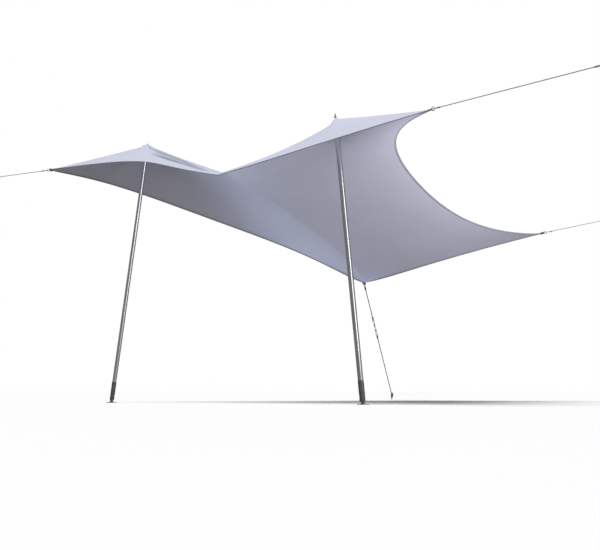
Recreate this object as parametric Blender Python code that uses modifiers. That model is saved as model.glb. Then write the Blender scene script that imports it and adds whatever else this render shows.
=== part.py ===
"""Stretch tent: one sheet of stretch fabric on two leaning steel masts, held out by four guys.

Metres, +Z up. The origin is the middle of the right mast's base plate, on the ground. +X runs
from the front left corner to the front right one, and +Y runs to the back.
"""

import math
from itertools import combinations

import bmesh
import bpy
import numpy as np
from mathutils import Matrix, Vector
from mathutils.geometry import closest_point_on_tri

# Corners of the sheet, and the dip in its front edge where the valley starts
FRONT_LEFT = (-5.19, -0.83, 3.79)
FRONT_RIGHT = (1.34, -0.87, 3.58)
REAR_RIGHT = (1.83, 3.52, 2.83)
REAR_LOW = (-1.55, 3.76, 2.26)
FRONT_DIP = (-1.90, -0.73, 3.25)

# Where the mast heads push the sheet up, and where the masts stand
PEAKS = {"left": (-3.61, -0.27, 4.12), "right": (-0.26, -0.24, 3.99)}
FEET = {"left": (-4.11, -0.32, 0.0), "right": (0.0, 0.0, 0.0)}

# Handles of the Bezier curves that the edges and the valley follow between their ends
FRONT_LEFT_EDGE = ((-2.91, -0.60, 3.78), (-3.43, -0.71, 3.66))
FRONT_RIGHT_EDGE = ((-1.03, -0.66, 3.37), (-0.26, -0.82, 3.43))
REAR_LEFT_EDGE = (
    (-4.63, -0.38, 3.65),
    (-3.90, 0.25, 3.68),
    (-3.22, 1.19, 2.75),
    (-2.46, 1.97, 3.15),
    (-1.92, 2.95, 2.39),
)
REAR_RIGHT_EDGE = ((-0.84, 3.35, 2.24), (-0.03, 3.20, 2.47))
RIGHT_EDGE = (
    (0.36, 0.27, 3.89),
    (-0.39, 0.61, 3.79),
    (0.66, 2.30, 3.47),
    (0.12, 1.94, 2.83),
    (1.36, 3.06, 2.74),
)
VALLEY = (
    (-2.43, 0.15, 3.82),
    (-1.73, 1.07, 3.01),
    (-1.79, 1.92, 3.05),
    (-1.17, 2.86, 2.40),
)

# The net that gives the sheet its shape: cells across, cells deep and steps in each cell
LEFT_CELLS = 12
RIGHT_CELLS = 13
DEEP_CELLS = 14
STEPS = 4
RIDGE_CELL = 1
LEFT_PEAK_CELL = 6
RIGHT_PEAK_CELL = 19
RELAX_ROUNDS = 1200
RELAX_SWING = 1.9

# How hard the net pulls across in its right half, where the cells are narrow, and at least in
# the left half, where they fan out from the corner; 1 is as hard as it pulls front to back
RIGHT_PULL = 2.0
FAN_LEAST = 0.08

# How much tighter than the rest the sheet is along its ridge, from the left corner to the right
RIDGE_TENSION = {"left_out": 400.0, "left_in": 80.0, "right_in": 9.0, "right_out": 60.0}

# The small cap that each mast head presses into the sheet: points of the net, their spacing, how
# steeply the cap falls all round, and how it tips with the ridge's pull, up towards +X
CAP_STEPS = [(i, j) for i in (-1, 0, 1) for j in (-1, 0, 1)]
CAP_STEP = 0.05
CAP_SLOPE = {"left": 0.2, "right": 1.3}
CAP_TILT = {"left": -0.1, "right": 0.6}

CAD_STRIDE = 2
SHEET_THICK = 0.006
CORNER_CUT = 0.06
GAP = 0.0003
CORNER_PLAY = 0.0003
PIN_CUTTER_LENGTH = 0.2

# The round hems start this far from the corners, and their next point is further in
HEM_RADIUS = 0.008
HEM_END = 0.05
HEM_NEXT = 0.075

MAST_RADIUS = {"left": 0.0315, "right": 0.038}
MAST_WALL = 0.003
SLEEVE_WALL = 0.003
SLEEVE_BASE = 0.012
SLEEVE_HEIGHT = 0.28
SLEEVE_CHAMFER = 0.0015
BALL_RADIUS = 0.030
BALL_HEIGHT = 0.012
BALL_STEM = 0.004
PLATE_RADIUS = 0.080
PLATE_THICK = 0.008
HEAD_RADIUS = 0.050
HEAD_FLANGE_SHARE = 0.8
HEAD_SPIGOT = 0.120
HEAD_BEND = 0.15
HEAD_FACETS = {"left": 0.0030, "right": 0.0006}
ARC_STEPS = 8
DROP_STEP = 0.0001
PIN_RADIUS = 0.008
PIN_HOLE_RADIUS = 0.012
PIN_RISE = {"left": 0.025, "right": 0.050}
PIN_CHAMFER = 0.003

CLAMP_SIZE = (0.060, 0.070, 0.010)
CLAMP_HOLE_RADIUS = 0.010
CLAMP_WEB = 0.010
CLAMP_NOSE = 0.015
RING_RADIUS = 0.024
RING_BAR = 0.004
RING_PLAY = 0.0015
ROPE_RADIUS = 0.006
LOW_ROPE_RADIUS = 0.009

# How far a link's flat facets lie inside its round bar
LINK_FACETS = 0.0007

# Which way the three guys to points outside the photograph run, and how far
AIR_GUYS = {
    "front_left": ((-0.907, -0.404, -0.115), 0.98),
    "front_right": ((0.883, -0.450, -0.134), 2.33),
    "rear_right": ((0.935, 0.304, 0.181), 1.11),
}
HOOK_LENGTH = 0.090
HOOK_WIDTH = 0.045

# The low corner's guy, its turnbuckle and its stake
STAKE_FOOT = (-1.90, 6.06, 0.0)
STAKE_LEAN = 25.0
STAKE_RADIUS = 0.014
STAKE_HEAD_RADIUS = 0.024
STAKE_LENGTH = 0.150
STAKE_HEAD = 0.020
STAKE_BELOW = 0.050
GROUND_CUTTER = 0.4
TIE_HEIGHT = 0.080
STAKE_TIE_CLEAR = 0.0178
TURNBUCKLE_AT = 1.10
TURNBUCKLE_LENGTH = 0.26
TURNBUCKLE_RADIUS = 0.016
TURNBUCKLE_TAPER = 0.015
TURNBUCKLE_END_RADIUS = 0.010
EYE_LENGTH = 0.060
EYE_WIDTH = 0.034
EYE_BAR = 0.004

SHARP_ANGLE = 35.0

COLOURS = {
    "fabric": ((0.50, 0.50, 0.56), 0.75, 0.0),
    "hem": ((0.45, 0.45, 0.50), 0.70, 0.0),
    "steel": ((0.62, 0.62, 0.64), 0.30, 1.0),
    "shoe": ((0.08, 0.08, 0.09), 0.60, 0.0),
    "rope": ((0.08, 0.08, 0.09), 0.85, 0.0),
    "pale_rope": ((0.62, 0.62, 0.64), 0.85, 0.0),
    "fitting": ((0.45, 0.46, 0.48), 0.35, 1.0),
}


def clear_scene():
    for obj in list(bpy.data.objects):
        bpy.data.objects.remove(obj, do_unlink=True)


def make_collection(name):
    collection = bpy.data.collections.new(name)
    bpy.context.scene.collection.children.link(collection)
    return collection


def shade_round(mesh):
    """Smooth shading, but for the edges where two faces meet at a real corner."""
    mesh.shade_smooth()
    mesh.set_sharp_from_angle(angle=math.radians(SHARP_ANGLE))


def make_material(name):
    colour, roughness, metallic = COLOURS[name]
    material = bpy.data.materials.new(name)
    material.use_nodes = True
    shader = material.node_tree.nodes["Principled BSDF"]
    shader.inputs["Base Color"].default_value = (*colour, 1.0)
    shader.inputs["Roughness"].default_value = roughness
    shader.inputs["Metallic"].default_value = metallic
    return material


def add_mesh(name, bm, material, collection):
    """Makes the bmesh an object of its own, with its faces outward."""
    bmesh.ops.recalc_face_normals(bm, faces=bm.faces)
    mesh = bpy.data.meshes.new(name)
    bm.to_mesh(mesh)
    bm.free()
    obj = bpy.data.objects.new(name, mesh)
    collection.objects.link(obj)
    obj.data.materials.append(bpy.data.materials[material])
    return obj


def frame_along(start, along, across=(0.0, 0.0, 1.0)):
    """A matrix at start whose Z runs along, and whose X is as near across as it can be."""
    z = Vector(along).normalized()
    x = Vector(across) - Vector(across).dot(z) * z
    if x.length < 1e-3:
        x = z.orthogonal()
    x.normalize()
    turn = Matrix((x, z.cross(x), z)).transposed()
    return Matrix.Translation(Vector(start)) @ turn.to_4x4()


def add_turned(name, profile, matrix, material, collection, sides=24, wall=None):
    """Spins a profile of (radius, height) points, from the bottom up, about the matrix's Z axis.

    With a wall, the profile is the middle line of a wall of that thickness.
    """
    mesh = bpy.data.meshes.new(name)
    runs = [(k, k + 1) for k in range(len(profile) - 1)]
    mesh.from_pydata([(radius, 0.0, height) for radius, height in profile], runs, [])
    obj = bpy.data.objects.new(name, mesh)
    collection.objects.link(obj)
    obj.data.materials.append(bpy.data.materials[material])
    obj.matrix_world = matrix
    screw = obj.modifiers.new("turn", "SCREW")
    screw.steps = sides
    screw.render_steps = sides
    screw.use_merge_vertices = True
    screw.merge_threshold = 0.00001
    screw.use_normal_flip = True
    if wall:
        solidify = obj.modifiers.new("wall", "SOLIDIFY")
        solidify.thickness = wall
        solidify.offset = 0.0
    return obj


def add_tube(name, points, radius, material, collection, closed=False, sides=2):
    """A round bar along straight runs between the points."""
    curve = bpy.data.curves.new(name, "CURVE")
    curve.dimensions = "3D"
    curve.bevel_depth = radius
    curve.bevel_resolution = sides
    curve.use_fill_caps = not closed
    spline = curve.splines.new("POLY")
    spline.points.add(len(points) - 1)
    for point, place in zip(spline.points, points):
        point.co = (*place, 1.0)
    spline.use_cyclic_u = closed
    obj = bpy.data.objects.new(name, curve)
    collection.objects.link(obj)
    obj.data.materials.append(bpy.data.materials[material])
    return obj


def oval(centre, along, across, length, width, steps=20):
    """Points of a rounded link whose middle line is length by width."""
    along = Vector(along).normalized()
    across = Vector(across) - Vector(across).dot(along) * along
    across.normalize()
    radius = width / 2
    straight = length / 2 - radius
    points = []
    for k in range(steps):
        angle = 2 * math.pi * (k + 0.5) / steps
        shift = math.copysign(straight, math.cos(angle))
        place = (math.cos(angle) * radius + shift) * along + math.sin(angle) * radius * across
        points.append(Vector(centre) + place)
    return points


def curve_point(ends, handles, t):
    """A point on the Bezier curve between two ends."""
    line = [np.array(point) for point in (ends[0], *handles, ends[1])]
    while len(line) > 1:
        line = [(1 - t) * a + t * b for a, b in zip(line, line[1:])]
    return line[0]


def even_points(ends, handles, count):
    """count + 1 points of the curve, the same distance apart."""
    fine = np.array([curve_point(ends, handles, t) for t in np.linspace(0, 1, 401)])
    run = np.concatenate([[0.0], np.cumsum(np.linalg.norm(np.diff(fine, axis=0), axis=1))])
    at = np.linspace(0.0, run[-1], count + 1)
    return np.stack([np.interp(at, run, fine[:, axis]) for axis in range(3)], axis=1)


def cut_corner(net, column, last_row, front, rear):
    """Ends a column of the net on a short straight cut between two edges."""
    for k in range(last_row + 1):
        net[column, k] = front + (rear - front) * k / last_row


def along_edge(edge, distance):
    """The point that lies this far along the straight runs between the edge's points."""
    run = np.concatenate([[0.0], np.cumsum(np.linalg.norm(np.diff(edge, axis=0), axis=1))])
    return np.array([np.interp(distance, run, edge[:, axis]) for axis in range(3)])


def sheet_net():
    """The net of points on the middle of the sheet: [across, deep, xyz].

    The edges, the valley and the two peaks are held, and every other point is relaxed to the
    mean of its four neighbours, weighted by the tension between them.
    """
    left = LEFT_CELLS * STEPS
    across = left + RIGHT_CELLS * STEPS
    deep = DEEP_CELLS * STEPS
    ridge = RIDGE_CELL * STEPS
    peak_left = LEFT_PEAK_CELL * STEPS
    peak_right = RIGHT_PEAK_CELL * STEPS

    net = np.zeros((across + 1, deep + 1, 3))
    front_left = even_points((FRONT_LEFT, FRONT_DIP), FRONT_LEFT_EDGE, left)
    front_right = even_points((FRONT_DIP, FRONT_RIGHT), FRONT_RIGHT_EDGE, across - left)
    rear_left = even_points((FRONT_LEFT, REAR_LOW), REAR_LEFT_EDGE, left)
    rear_right = even_points((REAR_LOW, REAR_RIGHT), REAR_RIGHT_EDGE, across - left)
    right = even_points((FRONT_RIGHT, REAR_RIGHT), RIGHT_EDGE, deep - ridge)
    valley = even_points((FRONT_DIP, REAR_LOW), VALLEY, deep)

    share_deep = np.linspace(0, 1, deep + 1)[None, :, None]
    front = np.concatenate([front_left, front_right[1:]])
    rear = np.concatenate([rear_left, rear_right[1:]])
    net[:] = front[:, None] * (1 - share_deep) + rear[:, None] * share_deep
    left_cut = [along_edge(edge, CORNER_CUT) for edge in (front_left, rear_left)]
    right_cut = [along_edge(edge, CORNER_CUT) for edge in (front_right[::-1], right)]
    cut_corner(net, 0, deep, *left_cut)
    cut_corner(net, across, ridge, *right_cut)
    net[across, ridge + 1 :] = right[1:]
    net[left] = valley

    held = np.zeros((across + 1, deep + 1), bool)
    held[0] = held[left] = held[across] = True
    held[:, 0] = held[:, deep] = True
    for side, column in (("left", peak_left), ("right", peak_right)):
        for i, j in CAP_STEPS:
            rise = CAP_TILT[side] * i - CAP_SLOPE[side] * math.hypot(i, j)
            net[column + i, ridge + j] = PEAKS[side] + CAP_STEP * np.array((i, j, rise))
            held[column + i, ridge + j] = True

    fan = np.clip(np.arange(across + 1) / left, FAN_LEAST, 1.0)
    fan[left + 1 :] = RIGHT_PULL
    pull_deep = np.repeat(1.0 / fan[:, None], deep, axis=1)
    pull_across = np.repeat((fan[:-1, None] + fan[1:, None]) / 2, deep + 1, axis=1)
    pull_across[:peak_left, ridge] += RIDGE_TENSION["left_out"] * STEPS
    pull_across[peak_left:left, ridge] += RIDGE_TENSION["left_in"] * STEPS
    pull_across[left:peak_right, ridge] += RIDGE_TENSION["right_in"] * STEPS
    pull_across[peak_right:, ridge] += RIDGE_TENSION["right_out"] * STEPS
    relax(net, ~held[1:-1, 1:-1], pull_across[:, 1:-1, None], pull_deep[1:-1, :, None])
    return net


def relax(net, free, pull_across, pull_deep):
    """Moves the free points until each is the mean of its four neighbours, weighted by pull."""
    left, right = pull_across[:-1], pull_across[1:]
    front, rear = pull_deep[:, :-1], pull_deep[:, 1:]
    total = left + right + front + rear
    inner = net[1:-1, 1:-1]
    chequer = np.indices(free.shape).sum(axis=0) % 2
    for _ in range(RELAX_ROUNDS):
        for square in (0, 1):
            move = free & (chequer == square)
            mean = left * net[:-2, 1:-1] + right * net[2:, 1:-1]
            mean += front * net[1:-1, :-2] + rear * net[1:-1, 2:]
            inner[move] += RELAX_SWING * (mean / total - inner)[move]


def add_canopy(net, collection, cutters):
    """The sheet as one closed solid, with a hole where each mast's pin comes through."""
    coarse = net[::CAD_STRIDE, ::CAD_STRIDE]
    across, deep = coarse.shape[:2]
    bm = bmesh.new()
    grid = [[bm.verts.new(coarse[i, j]) for j in range(deep)] for i in range(across)]
    for i in range(across - 1):
        for j in range(deep - 1):
            bm.faces.new((grid[i][j], grid[i + 1][j], grid[i + 1][j + 1], grid[i][j + 1]))
    obj = add_mesh("canopy_sheet", bm, "fabric", collection)
    shade_round(obj.data)
    solidify = obj.modifiers.new("thickness", "SOLIDIFY")
    solidify.thickness = SHEET_THICK
    solidify.offset = 0.0
    for side in PEAKS:
        hole = obj.modifiers.new(f"pin_hole_{side}", "BOOLEAN")
        hole.operation = "DIFFERENCE"
        hole.solver = "EXACT"
        hole.object = cutters[side]
    return obj


def add_pin_cutter(side, collection):
    """A cylinder along the mast's axis, which cuts the pin's hole in the sheet."""
    bm = bmesh.new()
    bmesh.ops.create_cone(
        bm,
        cap_ends=True,
        segments=12,
        radius1=PIN_HOLE_RADIUS,
        radius2=PIN_HOLE_RADIUS,
        depth=PIN_CUTTER_LENGTH,
    )
    obj = add_mesh(f"pin_cutter_{side}", bm, "fabric", collection)
    obj.matrix_world = frame_along(PEAKS[side], mast_axis(side))
    obj.hide_render = True
    obj.display_type = "WIRE"
    return obj


def mast_axis(side):
    return (Vector(PEAKS[side]) - Vector(FEET[side])).normalized()


def head_drop(net, side):
    """How far below the peak the head's middle lies, so that its ball just clears the sheet."""
    coarse = net[::CAD_STRIDE, ::CAD_STRIDE]
    cell = LEFT_PEAK_CELL if side == "left" else RIGHT_PEAK_CELL
    i = cell * STEPS // CAD_STRIDE
    j = RIDGE_CELL * STEPS // CAD_STRIDE
    near = []
    for k in range(i - 2, i + 2):
        for m in range(j - 2, j + 2):
            quad = [coarse[k, m], coarse[k + 1, m], coarse[k + 1, m + 1], coarse[k, m + 1]]
            near += [[Vector(quad[n]) for n in three] for three in combinations(range(4), 3)]
    clear = HEAD_RADIUS + SHEET_THICK / 2 + GAP - HEAD_FACETS[side]
    axis = mast_axis(side)
    drop = clear
    while True:
        ball = Vector(PEAKS[side]) - drop * axis
        short = clear - min((closest_point_on_tri(ball, *three) - ball).length for three in near)
        if short < DROP_STEP:
            return drop + DROP_STEP
        drop += short


def arc(radius, height, start, stop):
    """Points of a profile's arc about a point on the axis, from one angle to another."""
    angles = [start + (stop - start) * k / ARC_STEPS for k in range(ARC_STEPS + 1)]
    return [(radius * math.cos(angle), height + radius * math.sin(angle)) for angle in angles]


def add_mast(side, net, collection):
    """Base plate, shoe, tube and head of one mast, from the ground up."""
    foot = Vector(FEET[side])
    axis = mast_axis(side)
    upright = Matrix.Translation(foot)
    along = frame_along(foot, axis)
    radius = MAST_RADIUS[side]
    bore = radius - MAST_WALL
    shoe_from = BALL_HEIGHT * axis.z + BALL_RADIUS + GAP
    tube_from = shoe_from + SLEEVE_BASE + GAP
    peak_at = (Vector(PEAKS[side]) - foot).length
    head_at = peak_at - head_drop(net, side)
    tube_to = head_at - HEAD_RADIUS * HEAD_FLANGE_SHARE

    name = f"mast_{side}_base_plate"
    add_turned(name, base_plate_profile(), upright, "fitting", collection)
    name = f"mast_{side}_shoe"
    add_turned(name, shoe_profile(radius, shoe_from), along, "shoe", collection)
    name = f"mast_{side}_tube"
    middle = radius - MAST_WALL / 2
    run = [(middle, tube_from), (middle, tube_to)]
    add_turned(name, run, along, "steel", collection, wall=MAST_WALL)
    name = f"mast_{side}_head"
    head = head_profile(bore, tube_to + GAP, head_at, peak_at + PIN_RISE[side])
    add_turned(name, head, along, "fitting", collection)


def base_plate_profile():
    """A round plate with a ball in its middle, on which the mast can lean any way."""
    start = math.asin((PLATE_THICK + BALL_STEM - BALL_HEIGHT) / BALL_RADIUS)
    ball = arc(BALL_RADIUS, BALL_HEIGHT, start, math.pi / 2)
    ball[-1] = (0.0, BALL_HEIGHT + BALL_RADIUS)
    return [(0.0, 0.0), (PLATE_RADIUS, 0.0), (PLATE_RADIUS, PLATE_THICK)] + ball


def shoe_profile(radius, start):
    """A cup with a thick floor, which the foot of the tube stands in."""
    inner = radius + GAP
    outer = radius + SLEEVE_WALL
    top = start + SLEEVE_HEIGHT
    return [
        (0.0, start),
        (outer - SLEEVE_CHAMFER, start),
        (outer, start + SLEEVE_CHAMFER),
        (outer, top - SLEEVE_CHAMFER),
        (outer - SLEEVE_CHAMFER, top),
        (inner, top),
        (inner, start + SLEEVE_BASE),
        (0.0, start + SLEEVE_BASE),
    ]


def head_profile(bore, flange, middle, top):
    """A spigot inside the tube, a flange on its rim, a ball under the sheet and a pin through it."""
    plug = bore - GAP
    low = math.asin(-HEAD_FLANGE_SHARE) + HEAD_BEND
    high = math.acos(PIN_RADIUS / HEAD_RADIUS)
    return [
        (0.0, flange - HEAD_SPIGOT),
        (plug - PIN_CHAMFER, flange - HEAD_SPIGOT),
        (plug, flange - HEAD_SPIGOT + PIN_CHAMFER),
        (plug, flange),
        (HEAD_RADIUS * HEAD_FLANGE_SHARE, flange),
        *arc(HEAD_RADIUS, middle, low, high),
        (PIN_RADIUS, top - PIN_CHAMFER),
        (PIN_RADIUS - PIN_CHAMFER, top),
        (0.0, top),
    ]


def edge_outward(edge, inner):
    """At each edge point, the unit vector out of the sheet and across the edge."""
    tangent = np.gradient(edge, axis=0)
    tangent /= np.linalg.norm(tangent, axis=1)[:, None]
    out = edge - inner
    out -= (out * tangent).sum(axis=1)[:, None] * tangent
    return out / np.linalg.norm(out, axis=1)[:, None]


def add_hems(net, collection):
    """A round hem along each free edge, against the sheet's rim."""
    coarse = net[::CAD_STRIDE, ::CAD_STRIDE]
    left = LEFT_CELLS * STEPS // CAD_STRIDE
    ridge = RIDGE_CELL * STEPS // CAD_STRIDE
    edges = {
        "hem_front": (coarse[:, 0], coarse[:, 1]),
        "hem_rear_left": (coarse[: left + 1, -1], coarse[: left + 1, -2]),
        "hem_rear_right": (coarse[left:, -1], coarse[left:, -2]),
        "hem_right": (coarse[-1, ridge:], coarse[-2, ridge:]),
    }
    for name, (edge, inner) in edges.items():
        out = edge_outward(edge, inner)
        line = shorten(edge + out * (HEM_RADIUS + 2 * GAP))
        add_tube(name, line, HEM_RADIUS, "hem", collection, sides=1)


def shorten(line):
    """The line without the stretch at either end where a corner's clamp is."""
    run = np.concatenate([[0.0], np.cumsum(np.linalg.norm(np.diff(line, axis=0), axis=1))])
    inside = (run > HEM_NEXT) & (run < run[-1] - HEM_NEXT)
    first = along_edge(line, HEM_END)
    last = along_edge(line, run[-1] - HEM_END)
    return np.concatenate([[first], line[inside], [last]])


def corner_places(net):
    """For each corner: where its clamp starts, its guy's direction and the clamp's normal."""
    left = LEFT_CELLS * STEPS
    ridge = RIDGE_CELL * STEPS
    low_guy = np.array(tie_point()) - np.array(REAR_LOW)
    rims = {
        "front_left": (net[0, [0, -1]], net[4, [0, -1]], AIR_GUYS["front_left"][0]),
        "front_right": (
            net[-1, [0, ridge]],
            np.array([net[-5, 0], net[-1, ridge + 4]]),
            AIR_GUYS["front_right"][0],
        ),
        "rear_right": (
            net[-1, [-1, -1]],
            np.array([net[-5, -1], net[-1, -5]]),
            AIR_GUYS["rear_right"][0],
        ),
        "rear_low": (net[left, [-1, -1]], net[[left - 4, left + 4], -1], low_guy),
    }
    places = {}
    for name, (rim, inner, guy) in rims.items():
        out = np.array(guy) / np.linalg.norm(guy)
        middle = rim.mean(axis=0)
        normal = np.cross(inner[0] - rim[0], inner[1] - rim[1])
        normal /= np.linalg.norm(normal)
        reach = ((rim - middle) @ out).max() + abs(normal @ out) * SHEET_THICK / 2 + CORNER_PLAY
        normal -= (normal @ out) * out
        places[name] = (
            Vector(middle + reach * out),
            Vector(out),
            Vector(normal).normalized(),
        )
    return places


def add_clamp(name, point, out, normal, collection):
    """A flat clamp with one hole, whose near end lies against the sheet's corner."""
    long, wide, thick = CLAMP_SIZE
    near = GAP
    far = near + long
    hole_at = far - CLAMP_WEB - CLAMP_HOLE_RADIUS
    outline = [(near, -wide / 2), (far - CLAMP_NOSE, -wide / 2), (far, -wide / 4)]
    outline += [(x, -y) for x, y in reversed(outline)]
    hole = []
    for k in range(12):
        angle = 2 * math.pi * k / 12
        hole.append(
            (hole_at + CLAMP_HOLE_RADIUS * math.cos(angle), CLAMP_HOLE_RADIUS * math.sin(angle))
        )
    curve = bpy.data.curves.new(name, "CURVE")
    curve.dimensions = "2D"
    curve.fill_mode = "BOTH"
    curve.extrude = thick / 2
    for line in (outline, hole):
        spline = curve.splines.new("POLY")
        spline.points.add(len(line) - 1)
        for spot, (x, y) in zip(spline.points, line):
            spot.co = (x, y, 0.0, 1.0)
        spline.use_cyclic_u = True
    obj = bpy.data.objects.new(name, curve)
    collection.objects.link(obj)
    obj.data.materials.append(bpy.data.materials["fitting"])
    obj.matrix_world = frame_along(point, normal, out)
    return point + out * hole_at


def add_link(name, centre, along, across, collection, length=None):
    """A closed link of round bar: a ring, or longer if a length is given."""
    width = 2 * RING_RADIUS if length is None else HOOK_WIDTH
    points = oval(centre, along, across, length or width, width)
    add_tube(name, points, RING_BAR, "fitting", collection, closed=True, sides=1)


def add_corner(corner, place, collection):
    """The clamp and the ring of one corner. Returns where its guy starts."""
    point, out, normal = place
    hole = add_clamp(f"corner_{corner}_clamp", point, out, normal, collection)
    bar_at = hole + out * (CLAMP_HOLE_RADIUS - RING_BAR - RING_PLAY)
    add_link(f"corner_{corner}_ring", bar_at + out * RING_RADIUS, out, normal, collection)
    return bar_at + out * (2 * RING_RADIUS + RING_BAR + GAP)


def add_air_guy(corner, start, out, collection):
    """A taut guy that something outside the photograph holds, and the link at its end."""
    end = start + out * (AIR_GUYS[corner][1] - HOOK_LENGTH)
    add_tube(f"guy_{corner}_rope", [start, end], ROPE_RADIUS, "pale_rope", collection)
    centre = end + out * (GAP + RING_BAR - LINK_FACETS + HOOK_LENGTH / 2)
    add_link(f"guy_{corner}_link", centre, out, (0.0, 0.0, 1.0), collection, HOOK_LENGTH)


def stake_axis():
    """The way the stake leans: back from the corner that it holds."""
    away = Vector(STAKE_FOOT) - Vector(REAR_LOW)
    away.z = 0.0
    lean = math.radians(STAKE_LEAN)
    return away.normalized() * math.sin(lean) + Vector((0.0, 0.0, math.cos(lean)))


def tie_point():
    """Where the low guy meets the stake's axis."""
    return Vector(STAKE_FOOT) + stake_axis() * (TIE_HEIGHT / stake_axis().z)


def add_low_guy(start, out, collection):
    """The low corner's guy: two ropes, and the turnbuckle between them that tightens it."""
    across = out.cross(Vector((0.0, 0.0, 1.0)))
    middle = start + out * TURNBUCKLE_AT
    half = TURNBUCKLE_LENGTH / 2
    body = [
        (0.0, -half),
        (TURNBUCKLE_END_RADIUS, -half),
        (TURNBUCKLE_RADIUS, -half + TURNBUCKLE_TAPER),
        (TURNBUCKLE_RADIUS, half - TURNBUCKLE_TAPER),
        (TURNBUCKLE_END_RADIUS, half),
        (0.0, half),
    ]
    add_turned("turnbuckle_body", body, frame_along(middle, out), "fitting", collection, sides=16)
    reach = half + GAP + EYE_BAR + EYE_LENGTH / 2
    for name, side in (("upper", -1.0), ("lower", 1.0)):
        points = oval(middle + out * side * reach, out, across, EYE_LENGTH, EYE_WIDTH)
        add_tube(
            f"turnbuckle_{name}_eye", points, EYE_BAR, "fitting", collection, closed=True, sides=1
        )
    clear = reach + EYE_LENGTH / 2 + EYE_BAR + GAP
    ropes = {
        "guy_rear_low_upper_rope": (start, middle - out * clear),
        "guy_rear_low_lower_rope": (middle + out * clear, tie_point() - out * STAKE_TIE_CLEAR),
    }
    for name, ends in ropes.items():
        add_tube(name, list(ends), LOW_ROPE_RADIUS, "rope", collection)


def add_stake(collection, cutters):
    """The peg that holds the low guy, cut off level with the ground."""
    profile = [
        (0.0, -STAKE_BELOW),
        (STAKE_RADIUS, -STAKE_BELOW),
        (STAKE_RADIUS, STAKE_LENGTH - 1.5 * STAKE_HEAD),
        (STAKE_HEAD_RADIUS, STAKE_LENGTH - STAKE_HEAD),
        (STAKE_HEAD_RADIUS, STAKE_LENGTH),
        (0.0, STAKE_LENGTH),
    ]
    place = frame_along(STAKE_FOOT, stake_axis())
    stake = add_turned("ground_stake", profile, place, "fitting", collection, sides=16)
    bm = bmesh.new()
    bmesh.ops.create_cube(bm, size=GROUND_CUTTER)
    ground = add_mesh("ground_cutter", bm, "fitting", cutters)
    ground.location = Vector(STAKE_FOOT) - Vector((0.0, 0.0, GROUND_CUTTER / 2))
    ground.hide_render = True
    ground.display_type = "WIRE"
    cut = stake.modifiers.new("level_foot", "BOOLEAN")
    cut.operation = "DIFFERENCE"
    cut.solver = "EXACT"
    cut.object = ground


def main():
    clear_scene()
    tent = make_collection("stretch_tent")
    cutters = make_collection("cutters")
    cutters.hide_render = True
    for name in COLOURS:
        make_material(name)
    net = sheet_net()
    holes = {side: add_pin_cutter(side, cutters) for side in PEAKS}
    add_canopy(net, tent, holes)
    add_hems(net, tent)
    for side in PEAKS:
        add_mast(side, net, tent)
    for corner, place in corner_places(net).items():
        start = add_corner(corner, place, tent)
        out = place[1]
        if corner in AIR_GUYS:
            add_air_guy(corner, start, out, tent)
        else:
            add_low_guy(start, (tie_point() - start).normalized(), tent)
            add_stake(tent, cutters)


main()
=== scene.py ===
"""Dresses the stretch tent: its sheet, hems, masts, corner fittings, guys and ground stake.

Everything is in metres in the frame of the solids, +Z up. The origin is under the right mast,
+X runs from the front left corner to the front right one, and +Y runs to the back.
"""

import logging
import math
from dataclasses import dataclass, field
from enum import Enum
from typing import Any, Iterable, Sequence

import bmesh
import bpy
import numpy as np
from mathutils import Matrix, Vector


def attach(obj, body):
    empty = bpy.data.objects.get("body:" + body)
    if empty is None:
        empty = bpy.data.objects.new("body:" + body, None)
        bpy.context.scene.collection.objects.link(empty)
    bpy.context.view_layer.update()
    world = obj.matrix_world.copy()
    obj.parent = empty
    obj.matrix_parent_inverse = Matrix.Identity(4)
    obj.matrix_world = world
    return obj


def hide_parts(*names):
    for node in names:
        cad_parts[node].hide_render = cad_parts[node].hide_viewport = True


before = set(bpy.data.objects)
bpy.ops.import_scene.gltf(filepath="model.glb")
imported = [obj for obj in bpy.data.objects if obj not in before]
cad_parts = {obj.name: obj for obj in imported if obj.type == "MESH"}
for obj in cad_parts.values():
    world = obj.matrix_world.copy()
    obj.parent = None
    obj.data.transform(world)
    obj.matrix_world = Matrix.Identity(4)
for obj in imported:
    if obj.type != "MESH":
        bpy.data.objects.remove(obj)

log = logging.getLogger("stretch_tent")
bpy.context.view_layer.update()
MERGE = 1e-6
Colour = tuple[float, float, float]


class Value:
    """A node's output that takes part in arithmetic, which adds Math nodes."""

    def __init__(self, graph: "Graph", socket: bpy.types.NodeSocket) -> None:
        """Keeps the socket and the graph that it belongs to."""
        self.graph = graph
        self.socket = socket

    def __add__(self, other: "Operand") -> "Value":
        """The sum of both."""
        return self.graph.maths("ADD", self, other)

    def __sub__(self, other: "Operand") -> "Value":
        """This less the other."""
        return self.graph.maths("SUBTRACT", self, other)

    def __rsub__(self, other: "Operand") -> "Value":
        """The other less this."""
        return self.graph.maths("SUBTRACT", other, self)

    def __mul__(self, other: "Operand") -> "Value":
        """The product of both."""
        return self.graph.maths("MULTIPLY", self, other)

    def __truediv__(self, other: "Operand") -> "Value":
        """This over the other."""
        return self.graph.maths("DIVIDE", self, other)

    def __rtruediv__(self, other: "Operand") -> "Value":
        """The other over this."""
        return self.graph.maths("DIVIDE", other, self)

    __radd__ = __add__
    __rmul__ = __mul__


Operand = Value | float


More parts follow.
